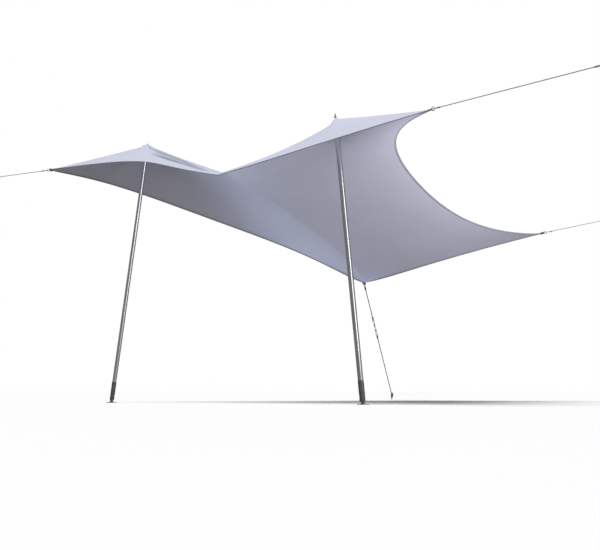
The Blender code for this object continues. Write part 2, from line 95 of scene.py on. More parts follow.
class Graph:
    """A shader or geometry node tree, written as Python expressions."""

    def __init__(self, tree: bpy.types.NodeTree) -> None:
        """Keeps the tree that the nodes go into."""
        self.tree = tree

    def node(
        self,
        kind: str,
        settings: dict[str, Any] | None = None,
        inputs: dict[str | int, Any] | None = None,
    ) -> bpy.types.Node:
        """Adds a node, makes its settings and then fills its sockets.

        Args:
            kind: The node's type name.
            settings: Attributes of the node, or "stops" for a colour ramp's places and colours.
            inputs: Values or links by socket name or number.

        Returns:
            The new node.
        """
        made = self.tree.nodes.new(kind)
        for name, value in (settings or {}).items():
            if name == "stops":
                self.set_stops(made.color_ramp, value)
            else:
                setattr(made, name, value)
        for key, value in (inputs or {}).items():
            if isinstance(value, Value):
                self.tree.links.new(value.socket, made.inputs[key])
            else:
                made.inputs[key].default_value = value
        return made

    def set_stops(self, ramp: bpy.types.ColorRamp, stops: Sequence[tuple[float, Colour]]) -> None:
        """Gives a colour ramp its stops, from the lowest to the highest.

        Args:
            ramp: The ramp.
            stops: Each stop's place, from 0 to 1, and its colour.
        """
        while len(ramp.elements) < len(stops):
            ramp.elements.new(1.0)
        for element, (place, colour) in zip(ramp.elements, stops):
            element.position = place
            element.color = (*colour, 1.0)

    def out(self, node: bpy.types.Node, output: str | int = 0) -> Value:
        """One of a node's outputs as a value."""
        return Value(self, node.outputs[output])

    def maths(self, operation: str, *values: Operand, clamp: bool = False) -> Value:
        """A Math node on up to three values."""
        settings = {"operation": operation, "use_clamp": clamp}
        return self.out(self.node("ShaderNodeMath", settings, dict(enumerate(values))))

    def vector(self, operation: str, inputs: dict[str | int, Any]) -> Value:
        """A Vector Math node, as its vector output."""
        return self.out(self.node("ShaderNodeVectorMath", {"operation": operation}, inputs))

    def axis(self, place: Value, letter: str) -> Value:
        """One axis of a vector."""
        return self.out(self.node("ShaderNodeSeparateXYZ", None, {0: place}), letter)

    def step(self, value: Operand, low: float, high: float) -> Value:
        """Smooth change from 0 at low to 1 at high.

        Args:
            value: The number that is looked at.
            low: Where the change starts.
            high: Where it ends.

        Returns:
            The smooth step, from 0 to 1.
        """
        settings = {"interpolation_type": "SMOOTHSTEP"}
        inputs = {"Value": value, "From Min": low, "From Max": high}
        return self.out(self.node("ShaderNodeMapRange", settings, inputs))

    def mixed(self, share: Operand, one: Any, two: Any) -> Value:
        """One colour at share 0 and the other at share 1.

        Args:
            share: How much of the second colour.
            one: The first colour.
            two: The second colour.

        Returns:
            The mixed colour.
        """
        ends = [(*end, 1.0) if isinstance(end, tuple) else end for end in (one, two)]
        inputs = {"Factor": share, 6: ends[0], 7: ends[1]}
        return self.out(self.node("ShaderNodeMix", {"data_type": "RGBA"}, inputs), 2)


class Coordinates(Enum):
    """Where a pattern on a surface takes its place from."""

    OBJECT = "Object"
    SURFACE = "UV"


class Shader(Graph):
    """The node tree of one material."""

    def __init__(self, name: str) -> None:
        """Starts a material of this name with its Principled shader.

        Args:
            name: The material's name.
        """
        self.material = bpy.data.materials.new(name)
        self.material.use_nodes = True
        super().__init__(self.material.node_tree)
        self.surface = self.tree.nodes["Principled BSDF"]

    def place(self, kind: Coordinates, stretch: Colour = (1.0, 1.0, 1.0)) -> Value:
        """Texture coordinates, stretched along each axis."""
        start = self.out(self.node("ShaderNodeTexCoord"), kind.value)
        return self.vector("MULTIPLY", {0: start, 1: stretch})

    def noise(self, place: Value, scale: float, detail: float = 2.0, rough: float = 0.5) -> Value:
        """Noise from 0 to 1."""
        inputs = {"Vector": place, "Scale": scale, "Detail": detail, "Roughness": rough}
        return self.out(self.node("ShaderNodeTexNoise", None, inputs))

    def cells(self, place: Value, scale: float) -> Value:
        """A grey of its own for each cell of an irregular mosaic."""
        made = self.node("ShaderNodeTexVoronoi", None, {"Vector": place, "Scale": scale})
        return self.axis(self.out(made, "Color"), "X")

    def attribute(self, name: str) -> Value:
        """A number that the mesh keeps at each of its points."""
        return self.out(self.node("ShaderNodeAttribute", {"attribute_name": name}), "Fac")

    def bump(self, height: Value, distance: float, strength: float = 1.0) -> Value:
        """The normal of a surface that is this high, in metres, where height is 1."""
        inputs = {"Height": height, "Distance": distance, "Strength": strength}
        return self.out(self.node("ShaderNodeBump", None, inputs))

    def finish(self, **sockets: Any) -> bpy.types.Material:
        """Sets the shader's sockets, named with underscores for spaces, and gives the material.

        Args:
            sockets: The value or output for each socket.

        Returns:
            The finished material.
        """
        for name, value in sockets.items():
            socket = self.surface.inputs[name.replace("_", " ")]
            if isinstance(value, Value):
                self.tree.links.new(value.socket, socket)
            else:
                socket.default_value = (*value, 1.0) if isinstance(value, tuple) else value
        return self.material


class Finish:
    """What a surface is made of: a material of its own, made once, and the name of its slot."""

    name: str
    slot: str

    def shade(self, shader: Shader) -> bpy.types.Material:
        """Builds the nodes of the material.

        Args:
            shader: The material that is being made.

        Returns:
            The finished material.
        """
        raise NotImplementedError

    def material(self) -> bpy.types.Material:
        """The material of this finish."""
        return bpy.data.materials.get(self.name) or self.shade(Shader(self.name))


@dataclass(frozen=True)
class StretchKnit(Finish):
    """Coated stretch fabric: a fine knit, soft clouds of tone, a faint sheen, and painted shade in
    the grooves of its pleats.
    """

    name: str = "stretch_knit"
    slot: str = "fabric"
    pale: Colour = (0.515, 0.52, 0.585)
    deep: Colour = (0.475, 0.48, 0.54)
    # Colour of the painted shade in the grooves of the pleats.
    painted_crease_shade: Colour = (0.19, 0.20, 0.24)
    rib: float = 0.0032
    rib_height: float = 0.0003
    cloud: float = 0.8
    pull: float = 5.0

    def shade(self, shader: Shader) -> bpy.types.Material:
        """Clouds and painted shade in the pleats' grooves in the colour, and ribs and pulled
        threads in the normal.

        Args:
            shader: The material that is being made.

        Returns:
            The finished material.
        """
        spread = shader.place(Coordinates.OBJECT)
        cloth = shader.place(Coordinates.SURFACE)
        clouds = shader.noise(spread, self.cloud, 3.0)
        threads = shader.noise(shader.place(Coordinates.SURFACE, (1.0, 9.0, 1.0)), self.pull, 3.0)
        turn = 2 * math.pi / self.rib
        rows = shader.maths("SINE", shader.axis(cloth, "X") * turn)
        loops = shader.maths("SINE", shader.axis(cloth, "Y") * turn)
        knit = rows * loops * 0.5 + 0.5
        tone = clouds * 0.8 + threads * 0.2
        rough = 0.62 + threads * 0.16
        relief = knit * 0.5 + threads * 1.5
        open_cloth = shader.mixed(shader.step(tone, 0.3, 0.7), self.deep, self.pale)
        return shader.finish(
            # Painted shade: the pleats' grooves are darkened by how deep each point lies in one.
            Base_Color=shader.mixed(shader.attribute("crease"), open_cloth, self.painted_crease_shade),
            Roughness=rough,
            Normal=shader.bump(relief, self.rib_height),
            Sheen_Weight=0.03,
            Sheen_Roughness=0.5,
        )


@dataclass(frozen=True)
class HemBinding(Finish):
    """The folded edge of the sheet, with cross ribs where the fabric is doubled over a cord."""

    name: str = "hem_binding"
    slot: str = "hem"
    pale: Colour = (0.56, 0.565, 0.62)
    deep: Colour = (0.47, 0.475, 0.52)
    rib: float = 0.012
    rib_height: float = 0.0005

    def shade(self, shader: Shader) -> bpy.types.Material:
        """Soft puckers across the hem, with painted shade in their valleys.

        Args:
            shader: The material that is being made.

        Returns:
            The finished material.
        """
        cloth = shader.place(Coordinates.SURFACE)
        wander = shader.noise(cloth, 14.0, 2.0)
        along = shader.axis(cloth, "X") * (2 * math.pi / self.rib) + wander * 5.0
        pucker = shader.maths("SINE", along) * 0.5 + 0.5
        # Painted shade: the puckers' valleys are darker, with random tone from the wander on top.
        tone = pucker * 0.45 + wander * 0.55
        return shader.finish(
            Base_Color=shader.mixed(tone, self.deep, self.pale),
            Roughness=0.66 + wander * 0.14,
            Normal=shader.bump(pucker, self.rib_height),
            Sheen_Weight=0.1,
        )


@dataclass(frozen=True)
class PaintedShadeTape(Finish):
    """A woven tape along the underside of the sheet's edge, its dark tone painted shade under the
    hem; the front tape is the darkest.
    """

    name: str = "front_tape_painted_shade"
    slot: str = "hem"
    # Dark tones that stand for the shade under the hem: painted shade.
    pale: Colour = (0.25, 0.25, 0.27)
    deep: Colour = (0.17, 0.17, 0.19)
    rib: float = 0.0024
    rib_height: float = 0.0003

    def shade(self, shader: Shader) -> bpy.types.Material:
        """Fine ribs across the tape, with painted shade in their troughs, and worn patches along
        it.

        Args:
            shader: The material that is being made.

        Returns:
            The finished material.
        """
        cloth = shader.place(Coordinates.SURFACE)
        worn = shader.noise(cloth, 9.0, 3.0)
        ribs = shader.maths("SINE", shader.axis(cloth, "X") * (2 * math.pi / self.rib)) * 0.5 + 0.5
        return shader.finish(
            Base_Color=shader.mixed(ribs * 0.3 + worn * 0.7, self.deep, self.pale),
            Roughness=0.7 + worn * 0.15,
            Normal=shader.bump(ribs, self.rib_height),
        )


@dataclass(frozen=True)
class Thread(Finish):
    """Sewing thread."""

    name: str = "sewing_thread"
    slot: str = "hem"
    colour: Colour = (0.40, 0.405, 0.44)

    def shade(self, shader: Shader) -> bpy.types.Material:
        """Thread that is a little uneven in tone.

        Args:
            shader: The material that is being made.

        Returns:
            The finished material.
        """
        grain = shader.noise(shader.place(Coordinates.OBJECT), 90.0, 2.0)
        dark = tuple(0.7 * part for part in self.colour)
        return shader.finish(
            Base_Color=shader.mixed(grain, dark, self.colour), Roughness=0.6 + grain * 0.2
        )


@dataclass(frozen=True)
class DrawnSteel(Finish):
    """Galvanised mast tube, drawn lengthwise, duller and dusty near the ground."""

    name: str = "drawn_steel"
    slot: str = "steel"
    bright: Colour = (0.62, 0.63, 0.66)
    dull: Colour = (0.50, 0.51, 0.54)
    dust_colour: Colour = (0.30, 0.29, 0.27)
    roughness: float = 0.3
    dusty_below: float = 0.9

    def shade(self, shader: Shader) -> bpy.types.Material:
        """Faint lengthwise streaks, soft zinc clouds and some dust at the foot.

        Args:
            shader: The material that is being made.

        Returns:
            The finished material.
        """
        streaks = shader.noise(shader.place(Coordinates.SURFACE, (160.0, 0.6, 1.0)), 1.0, 3.0)
        clouds = shader.noise(shader.place(Coordinates.OBJECT, (1.0, 1.0, 0.4)), 6.0, 3.0)
        height = shader.axis(shader.place(Coordinates.OBJECT), "Z")
        dust = (1.0 - shader.step(height, 0.1, self.dusty_below)) * clouds
        tone = streaks * 0.4 + clouds * 0.6
        clean = shader.mixed(shader.step(tone, 0.3, 0.7), self.dull, self.bright)
        return shader.finish(
            Base_Color=shader.mixed(dust * 0.6, clean, self.dust_colour),
            Roughness=streaks * 0.05 + dust * 0.3 + self.roughness,
            Metallic=1.0 - dust * 0.5,
        )


@dataclass(frozen=True)
class Rubber(Finish):
    """Moulded black rubber of the mast shoes and heads, greyed by dust."""

    name: str = "moulded_rubber"
    slot: str = "shoe"
    colour: Colour = (0.13, 0.131, 0.142)
    dust: Colour = (0.24, 0.235, 0.23)

    def shade(self, shader: Shader) -> bpy.types.Material:
        """Fine grain in the normal and dust that gathers in patches.

        Args:
            shader: The material that is being made.

        Returns:
            The finished material.
        """
        place = shader.place(Coordinates.OBJECT)
        patches = shader.noise(place, 16.0, 4.0, 0.62)
        grain = shader.noise(place, 480.0, 2.0)
        share = shader.step(patches, 0.42, 0.75)
        return shader.finish(
            Base_Color=shader.mixed(share, self.colour, self.dust),
            Roughness=0.5 + share * 0.3,
            Normal=shader.bump(grain, 0.0002),
        )


@dataclass(frozen=True)
class LaidRope(Finish):
    """Polyester rope or cord."""

    name: str
    slot: str
    pale: Colour
    deep: Colour

    def shade(self, shader: Shader) -> bpy.types.Material:
        """Fibres that differ in tone, and a fine fuzz in the normal.

        Args:
            shader: The material that is being made.

        Returns:
            The finished material.
        """
        place = shader.place(Coordinates.OBJECT)
        fibres = shader.noise(place, 300.0, 3.0, 0.6)
        soil = shader.noise(place, 7.0, 3.0)
        return shader.finish(
            Base_Color=shader.mixed(fibres * 0.6 + soil * 0.4, self.deep, self.pale),
            Roughness=0.72 + fibres * 0.18,
            Normal=shader.bump(fibres, 0.0004),
        )


# A paler tape for the other edges, whose painted shade is lighter than the front's.
SIDE_SHADE_TAPE = PaintedShadeTape("side_tape_painted_shade", pale=(0.38, 0.38, 0.42), deep=(0.30, 0.30, 0.33))
DARK_ROPE = LaidRope("dark_rope", "rope", (0.075, 0.076, 0.082), (0.028, 0.028, 0.032))
PALE_ROPE = LaidRope("pale_rope", "pale_rope", (0.62, 0.62, 0.64), (0.42, 0.42, 0.44))


@dataclass(frozen=True)
class ZincFitting(Finish):
    """Galvanised steel of clamps, rings, links, plates, turnbuckle and stake."""

    name: str = "zinc_fitting"
    slot: str = "fitting"
    bright: Colour = (0.36, 0.365, 0.38)
    dull: Colour = (0.17, 0.173, 0.18)
    roughness: float = 0.34

    def shade(self, shader: Shader) -> bpy.types.Material:
        """Zinc crystals and darker, rougher handling marks.

        Args:
            shader: The material that is being made.

        Returns:
            The finished material.
        """
        place = shader.place(Coordinates.OBJECT)
        crystals = shader.cells(place, 160.0)
        marks = shader.noise(place, 28.0, 5.0, 0.62)
        worn = shader.step(marks, 0.4, 0.68)
        return shader.finish(
            Base_Color=shader.mixed(worn * 0.7 + crystals * 0.3, self.bright, self.dull),
            Roughness=worn * 0.2 + crystals * 0.08 + self.roughness,
            Metallic=1.0 - worn * 0.25,
            Normal=shader.bump(marks, 0.0004),
        )


@dataclass(frozen=True)
class StudioFloor(Finish):
    """The plain pale floor under the tent."""

    name: str = "studio_floor"
    slot: str = ""
    colour: Colour = (0.90, 0.90, 0.90)

    def shade(self, shader: Shader) -> bpy.types.Material:
        """A matt, even surface.

        Args:
            shader: The material that is being made.

        Returns:
            The finished material.
        """
        grain = shader.noise(shader.place(Coordinates.OBJECT), 0.6, 2.0)
        pale = tuple(min(1.0, 1.015 * part) for part in self.colour)
        return shader.finish(
            Base_Color=shader.mixed(grain, self.colour, pale),
            Roughness=0.9,
            Specular_IOR_Level=0.1,
        )


def unit(vector: Iterable[float]) -> np.ndarray:
    """The vector at length 1."""
    made = np.array(vector, float)
    return made / np.linalg.norm(made)


def units(vectors: np.ndarray) -> np.ndarray:
    """Each vector of an array at length 1."""
    return vectors / np.maximum(np.linalg.norm(vectors, axis=-1, keepdims=True), 1e-12)


def run_of(points: np.ndarray) -> np.ndarray:
    """How far along the line each of its points lies."""
    steps = np.linalg.norm(np.diff(points, axis=0), axis=1)
    return np.concatenate([[0.0], np.cumsum(steps)])


def spaced(points: np.ndarray, at: np.ndarray) -> np.ndarray:
    """The points at these distances along a line."""
    run = run_of(points)
    return np.stack([np.interp(at, run, points[:, axis]) for axis in range(3)], axis=1)


def arc(centre: tuple[float, float], radius: float, start: float, stop: float, count: int) -> list:
    """Points of an arc in a profile, from one angle to another in degrees."""
    angles = np.radians(np.linspace(start, stop, count + 1))
    return [(centre[0] + radius * math.cos(a), centre[1] + radius * math.sin(a)) for a in angles]


def rounded(corners: Sequence[tuple[float, float]], radius: float, count: int = 3) -> list:
    """A profile or outline with its inner corners rounded off.

    Args:
        corners: The corners, of which the first and the last stay sharp.
        radius: How far from each corner the rounding starts.
        count: How many short runs make each rounding.

    Returns:
        The points of the rounded line.
    """
    line = [tuple(corners[0])]
    for before, corner, after in zip(corners, corners[1:], corners[2:]):
        b, c, a = (np.array(point, float) for point in (before, corner, after))
        cut = min(radius, 0.45 * np.linalg.norm(b - c), 0.45 * np.linalg.norm(a - c))
        start = c + unit(b - c) * cut
        stop = c + unit(a - c) * cut
        for t in np.linspace(0, 1, count + 1):
            spot = (1 - t) ** 2 * start + 2 * t * (1 - t) * c + t * t * stop
            line.append(tuple(spot))
    line.append(tuple(corners[-1]))
    return line


def axes_along(along: Iterable[float], across: Iterable[float] = (0.0, 0.0, 1.0)) -> np.ndarray:
    """Three unit rows: across, its partner, and along.

    Args:
        along: The direction of the third row.
        across: A direction that the first row lies nearest to.

    Returns:
        The three rows, as a 3 by 3 array.
    """
    z = unit(along)
    x = np.array(across, float) - np.dot(across, z) * z
    if np.linalg.norm(x) < 1e-3:
        x = np.cross(z, (1.0, 0.0, 0.0))
    x = unit(x)
    return np.stack([x, np.cross(z, x), z])


class Piece:
    """One finished object, gathered from meshes that are already in place."""

    def __init__(self, name: str, finish: Finish) -> None:
        """Starts an empty piece whose first material is the finish.

        Args:
            name: The name of the piece.
            finish: Its first finish.
        """
        self.name = name
        self.finishes = [finish]
        self.bm = bmesh.new()
        self.uv = self.bm.loops.layers.uv.new("UVMap")

    def index_of(self, finish: Finish | None) -> int:
        """The number of a finish among the piece's materials.

        Args:
            finish: The finish, or None for the piece's first.

        Returns:
            Its place among the piece's materials.
        """
        if finish is None:
            return 0
        if finish not in self.finishes:
            self.finishes.append(finish)
        return self.finishes.index(finish)

    def add_grid(
        self,
        points: np.ndarray,
        uv: np.ndarray,
        finish: Finish | None = None,
        crease: np.ndarray | None = None,
    ) -> None:
        """Adds a rectangular net of faces.

        Args:
            points: The net's points, [rows, columns, 3].
            uv: Their places in the pattern, [rows, columns, 2].
            finish: The finish, where it isn't the piece's first.
            crease: How deep each point lies in a pleat's groove, from 0 to 1, for the painted shade
                there.
        """
        rows, columns = points.shape[:2]
        number = self.index_of(finish)
        layers = self.bm.verts.layers.float
        # The depth in a groove is kept in a mesh attribute for the painted shade.
        kept = None if crease is None else layers.get("crease") or layers.new("crease")
        verts = [[self.bm.verts.new(points[i, j]) for j in range(columns)] for i in range(rows)]
        if kept:
            for i, j in np.ndindex(rows, columns):
                verts[i][j][kept] = crease[i, j]
        for i in range(rows - 1):
            for j in range(columns - 1):
                spots = ((i, j), (i + 1, j), (i + 1, j + 1), (i, j + 1))
                face = self.bm.faces.new([verts[a][b] for a, b in spots])
                face.material_index = number
                face.smooth = True
                for loop, (a, b) in zip(face.loops, spots):
                    loop[self.uv].uv = uv[a, b]

    def add_turned(
        self,
        profile: Sequence[tuple[float, float]],
        start: Iterable[float],
        along: Iterable[float],
        sides: int = 48,
        finish: Finish | None = None,
    ) -> None:
        """Spins a profile of (radius, height) about an axis.

        Args:
            profile: The line that is spun. It closes itself where it ends on the axis.
            start: The point on the axis where height is 0.
            along: The axis.
            sides: How many flats the round has.
            finish: The finish, where it isn't the piece's first.
        """
        x, y, z = axes_along(along, (1.0, 0.0, 0.0))
        turn = np.linspace(0, 2 * math.pi, sides + 1)
        radius, height = np.array(profile, float).T
        ring = np.cos(turn)[:, None] * x + np.sin(turn)[:, None] * y
        points = np.array(start) + ring[:, None] * radius[None, :, None]
        points = points + height[None, :, None] * z
        points[-1] = points[0]
        run = run_of(np.stack([radius, height, 0 * height], axis=1))
        around = turn / (2 * math.pi) * 2 * math.pi * max(radius)
        uv = np.stack(np.meshgrid(around, run, indexing="ij"), axis=-1)
        self.add_grid(points, uv, finish)

    def add_tube(
        self,
        line: np.ndarray,
        radius: float,
        sides: int = 12,
        closed: bool = False,
        finish: Finish | None = None,
    ) -> None:
        """Adds a round bar along a line, with domed ends unless it is closed.

        Args:
            line: The points of its middle line.
            radius: The bar's radius.
            sides: How many flats the round has.
            closed: Whether the last point joins the first.
            finish: The finish, where it isn't the piece's first.
        """
        line = np.array(line, float)
        if closed:
            line = np.concatenate([line, line[:1]])
        across = turned_frames(line, closed)
        partner = np.cross(units(tangents(line, closed)), across)
        turn = np.linspace(0, 2 * math.pi, sides + 1)
        ring = np.cos(turn)[None, :, None] * across[:, None]
        ring = ring + np.sin(turn)[None, :, None] * partner[:, None]
        points = line[:, None] + radius * ring
        if not closed:
            along = units(tangents(line, closed))
            ends = []
            for k, sign in ((0, -1.0), (-1, 1.0)):
                dome = []
                for angle in np.radians((90.0, 60.0, 30.0)):
                    centre = line[k] + sign * along[k] * radius * 0.5 * math.sin(angle)
                    dome.append(centre + radius * math.cos(angle) * ring[k])
                ends.append(dome)
            points = np.concatenate([ends[0], points, ends[1][::-1]])
        points[:, -1] = points[:, 0]
        run = run_of(points[:, 0])
        uv = np.stack(np.meshgrid(run, turn * radius, indexing="ij"), axis=-1)
        self.add_grid(points, uv, finish)

    def add_mesh(self, mesh: bpy.types.Mesh, finish: Finish | None = None) -> None:
        """Adds the faces of a mesh, which is then removed.

        Args:
            mesh: The mesh, which is used up.
            finish: Its finish, where it isn't the piece's first.
        """
        number = self.index_of(finish)
        for polygon in mesh.polygons:
            polygon.material_index = number
        self.bm.from_mesh(mesh)
        bpy.data.meshes.remove(mesh)

    def add_plate(
        self,
        outlines: Sequence[Sequence[tuple[float, float]]],
        thickness: float,
        place: Matrix,
        bevel: float = 0.0006,
        finish: Finish | None = None,
    ) -> None:
        """Adds a flat plate with holes.

        Args:
            outlines: The plate's outline, then the outline of each hole.
            thickness: Its thickness.
            place: Where its middle plane goes.
            bevel: How far its rims are rounded.
            finish: The finish, where it isn't the piece's first.
        """
        curve = bpy.data.curves.new("plate", "CURVE")
        curve.dimensions = "2D"
        curve.fill_mode = "BOTH"
        curve.extrude = thickness / 2 - bevel
        curve.bevel_depth = bevel
        curve.bevel_resolution = 1
        curve.offset = -bevel
        for outline in outlines:
            spline = curve.splines.new("POLY")
            spline.points.add(len(outline) - 1)
            for spot, (x, y) in zip(spline.points, outline):
                spot.co = (x, y, 0.0, 1.0)
            spline.use_cyclic_u = True
        holder = bpy.data.objects.new("plate", curve)
        bpy.context.scene.collection.objects.link(holder)
        mesh = bpy.data.meshes.new_from_object(
            holder.evaluated_get(bpy.context.evaluated_depsgraph_get())
        )
        bpy.data.objects.remove(holder)
        bpy.data.curves.remove(curve)
        mesh.transform(place)
        self.add_mesh(mesh, finish)

    def finished(self, replaces: Sequence[str] = (), sharp: float = 32.0) -> bpy.types.Object:
        """Makes the object, which rides on the part and takes the place of solids.

        Args:
            replaces: The names of the solids that it stands for.
            sharp: The least angle between two faces that stays a sharp edge, in degrees.

        Returns:
            The finished object.
        """
        bmesh.ops.remove_doubles(self.bm, verts=self.bm.verts, dist=MERGE)
        bmesh.ops.dissolve_degenerate(self.bm, edges=self.bm.edges, dist=MERGE)
        bmesh.ops.recalc_face_normals(self.bm, faces=self.bm.faces)
        mesh = bpy.data.meshes.new(self.name)
        self.bm.to_mesh(mesh)
        self.bm.free()
        mesh.shade_smooth()
        mesh.set_sharp_from_angle(angle=math.radians(sharp))
        for finish in self.finishes:
            mesh.materials.append(finish.material())
        made = bpy.data.objects.new(self.name, mesh)
        bpy.context.scene.collection.objects.link(made)
        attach(made, "root")
        if replaces:
            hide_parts(*replaces)
        log.info("%s: %d faces", self.name, len(mesh.polygons))
        return made


def tangents(line: np.ndarray, closed: bool) -> np.ndarray:
    """The direction of a line at each of its points.

    Args:
        line: The line's points.
        closed: Whether the last point leads to the first.

    Returns:
        A unit vector for each point.
    """
    if not closed:
        return np.gradient(line, axis=0)
    ahead = np.roll(line[:-1], -1, axis=0) - np.roll(line[:-1], 1, axis=0)
    return np.concatenate([ahead, ahead[:1]])


def turned_frames(line: np.ndarray, closed: bool) -> np.ndarray:
    """A unit vector across the line at each point, carried along it without a twist.

    Args:
        line: The line's points.
        closed: Whether the last point leads to the first.

    Returns:
        A unit vector for each point, at right angles to the line.
    """
    along = units(tangents(line, closed))
    across = [axes_along(along[0])[0]]
    for direction in along[1:]:
        carried = across[-1] - np.dot(across[-1], direction) * direction
        across.append(unit(carried))
    made = np.array(across)
    if closed:
        partner = np.cross(along[0], made[0])
        slip = math.atan2(np.dot(made[-1], partner), np.dot(made[-1], made[0]))
        for k, direction in enumerate(along):
            angle = -slip * k / (len(along) - 1)
            other = np.cross(direction, made[k])
            made[k] = math.cos(angle) * made[k] + math.sin(angle) * other
    return made


class Repeater(Graph):
    """A geometry node tree that follows a line of points, and the mesh that it makes."""

    def __init__(self, name: str, sizes: dict[str, str]) -> None:
        """Starts the tree.

        Args:
            name: What the tree makes.
            sizes: The socket type of each size that it takes, by name.
        """
        super().__init__(bpy.data.node_groups.new(name, "GeometryNodeTree"))
        panel = self.tree.interface
        panel.new_socket("Geometry", in_out="INPUT", socket_type="NodeSocketGeometry")
        panel.new_socket("Geometry", in_out="OUTPUT", socket_type="NodeSocketGeometry")
        self.sockets = {}
        for size, kind in {**sizes, "Material": "NodeSocketMaterial"}.items():
            made = panel.new_socket(size, in_out="INPUT", socket_type=kind)
            self.sockets[size] = made.identifier
        self.entry = self.node("NodeGroupInput")
        self.line = self.out(self.node("GeometryNodeMeshToCurve", None, {0: self.size("Geometry")}))

    def size(self, name: str) -> Value:
        """One of the tree's inputs."""
        return self.out(self.entry, name)

    def close(self, shape: Value) -> None:
        """Ends the tree: what it made is realised and takes its material.

        Args:
            shape: What the tree made.
        """
        smooth = self.out(self.node("GeometryNodeSetShadeSmooth", None, {"Geometry": shape}))
        real = self.out(self.node("GeometryNodeRealizeInstances", None, {"Geometry": smooth}))
        inputs = {"Geometry": real, "Material": self.size("Material")}
        dressed = self.out(self.node("GeometryNodeSetMaterial", None, inputs))
        self.node("NodeGroupOutput", None, {0: dressed})

    def mesh(self, line: np.ndarray, finish: Finish, **sizes: Any) -> bpy.types.Mesh:
        """Runs the tree on one line of points.

        Args:
            line: The points of the line.
            finish: The finish of what is made.
            sizes: The tree's inputs, named with underscores for spaces.

        Returns:
            A plain mesh in place.
        """
        path = bpy.data.meshes.new("line")
        path.from_pydata([tuple(p) for p in line], [(k, k + 1) for k in range(len(line) - 1)], [])
        holder = bpy.data.objects.new("line", path)
        bpy.context.scene.collection.objects.link(holder)
        modifier = holder.modifiers.new("repeat", "NODES")
        modifier.node_group = self.tree
        modifier[self.sockets["Material"]] = finish.material()
        for name, value in sizes.items():
            modifier[self.sockets[name.replace("_", " ")]] = value
        holder.update_tag()
        graph = bpy.context.evaluated_depsgraph_get()
        made = bpy.data.meshes.new_from_object(holder.evaluated_get(graph))
        bpy.data.objects.remove(holder)
        bpy.data.meshes.remove(path)
        return made


class RopeLay(Repeater):
    """Strands that twist round a line, as in a laid rope or a seizing."""

    def __init__(self) -> None:
        """Builds the tree."""
        floats = ("Strand Radius", "Middle Radius", "Lay", "Step")
        super().__init__(
            "rope_lay", {"Strands": "NodeSocketInt", **{n: "NodeSocketFloat" for n in floats}}
        )
        line = self.out(
            self.node(
                "GeometryNodeResampleCurve",
                {"mode": "LENGTH"},
                {"Curve": self.line, "Length": self.size("Step")},
            )
        )
        copies = self.node(
            "GeometryNodeDuplicateElements",
            {"domain": "SPLINE"},
            {"Geometry": line, "Amount": self.size("Strands")},
        )
        run = self.out(self.node("GeometryNodeSplineParameter"), "Length")
        share = self.out(copies, "Duplicate Index") / self.size("Strands")
        angle = (run / self.size("Lay") + share) * (2 * math.pi)
        normal = self.out(self.node("GeometryNodeInputNormal"))
        tangent = self.out(self.node("GeometryNodeInputTangent"))
        partner = self.vector("CROSS_PRODUCT", {0: tangent, 1: normal})
        out = self.size("Middle Radius")
        near = self.scaled(normal, self.maths("COSINE", angle) * out)
        far = self.scaled(partner, self.maths("SINE", angle) * out)
        inputs = {"Geometry": self.out(copies), "Offset": self.vector("ADD", {0: near, 1: far})}
        strands = self.out(self.node("GeometryNodeSetPosition", None, inputs))
        inputs = {"Resolution": 8, "Radius": self.size("Strand Radius")}
        round_bar = self.out(self.node("GeometryNodeCurvePrimitiveCircle", None, inputs))
        inputs = {"Curve": strands, "Profile Curve": round_bar, "Fill Caps": True}
        self.close(self.out(self.node("GeometryNodeCurveToMesh", None, inputs)))

    def scaled(self, vector: Value, length: Value) -> Value:
        """The vector times a number."""
        return self.vector("SCALE", {0: vector, "Scale": length})


class StitchRow(Repeater):
    """Short threads in a row along a line."""

    def __init__(self) -> None:
        """Builds the tree."""
        floats = ("Pitch", "Thread Radius", "Thread Length")
        super().__init__("stitch_row", {name: "NodeSocketFloat" for name in floats})
        inputs = {"Curve": self.line, "Length": self.size("Pitch")}
        line = self.out(self.node("GeometryNodeResampleCurve", {"mode": "LENGTH"}, inputs))
        spots = self.node("GeometryNodeCurveToPoints", {"mode": "EVALUATED"}, {"Curve": line})
        inputs = {
            "Vertices": 5,
            "Side Segments": 1,
            "Radius": self.size("Thread Radius"),
            "Depth": self.size("Thread Length"),
        }
        thread = self.out(self.node("GeometryNodeMeshCylinder", None, inputs))
        turn = self.node(
            "FunctionNodeAlignRotationToVector",
            {"axis": "Z"},
            {"Vector": self.out(spots, "Tangent")},
        )
        inputs = {
            "Points": self.out(spots, "Points"),
            "Instance": thread,
            "Rotation": self.out(turn),
        }
        self.close(self.out(self.node("GeometryNodeInstanceOnPoints", None, inputs)))


@dataclass(frozen=True)
class Fold:
    """A groove or ridge in the sheet, along a line through its net.

    The line's points are places in the net: cells across and cells deep. A groove's height is
    below 0.
    """

    line: tuple[tuple[float, float], ...]
    width: float
    height: float


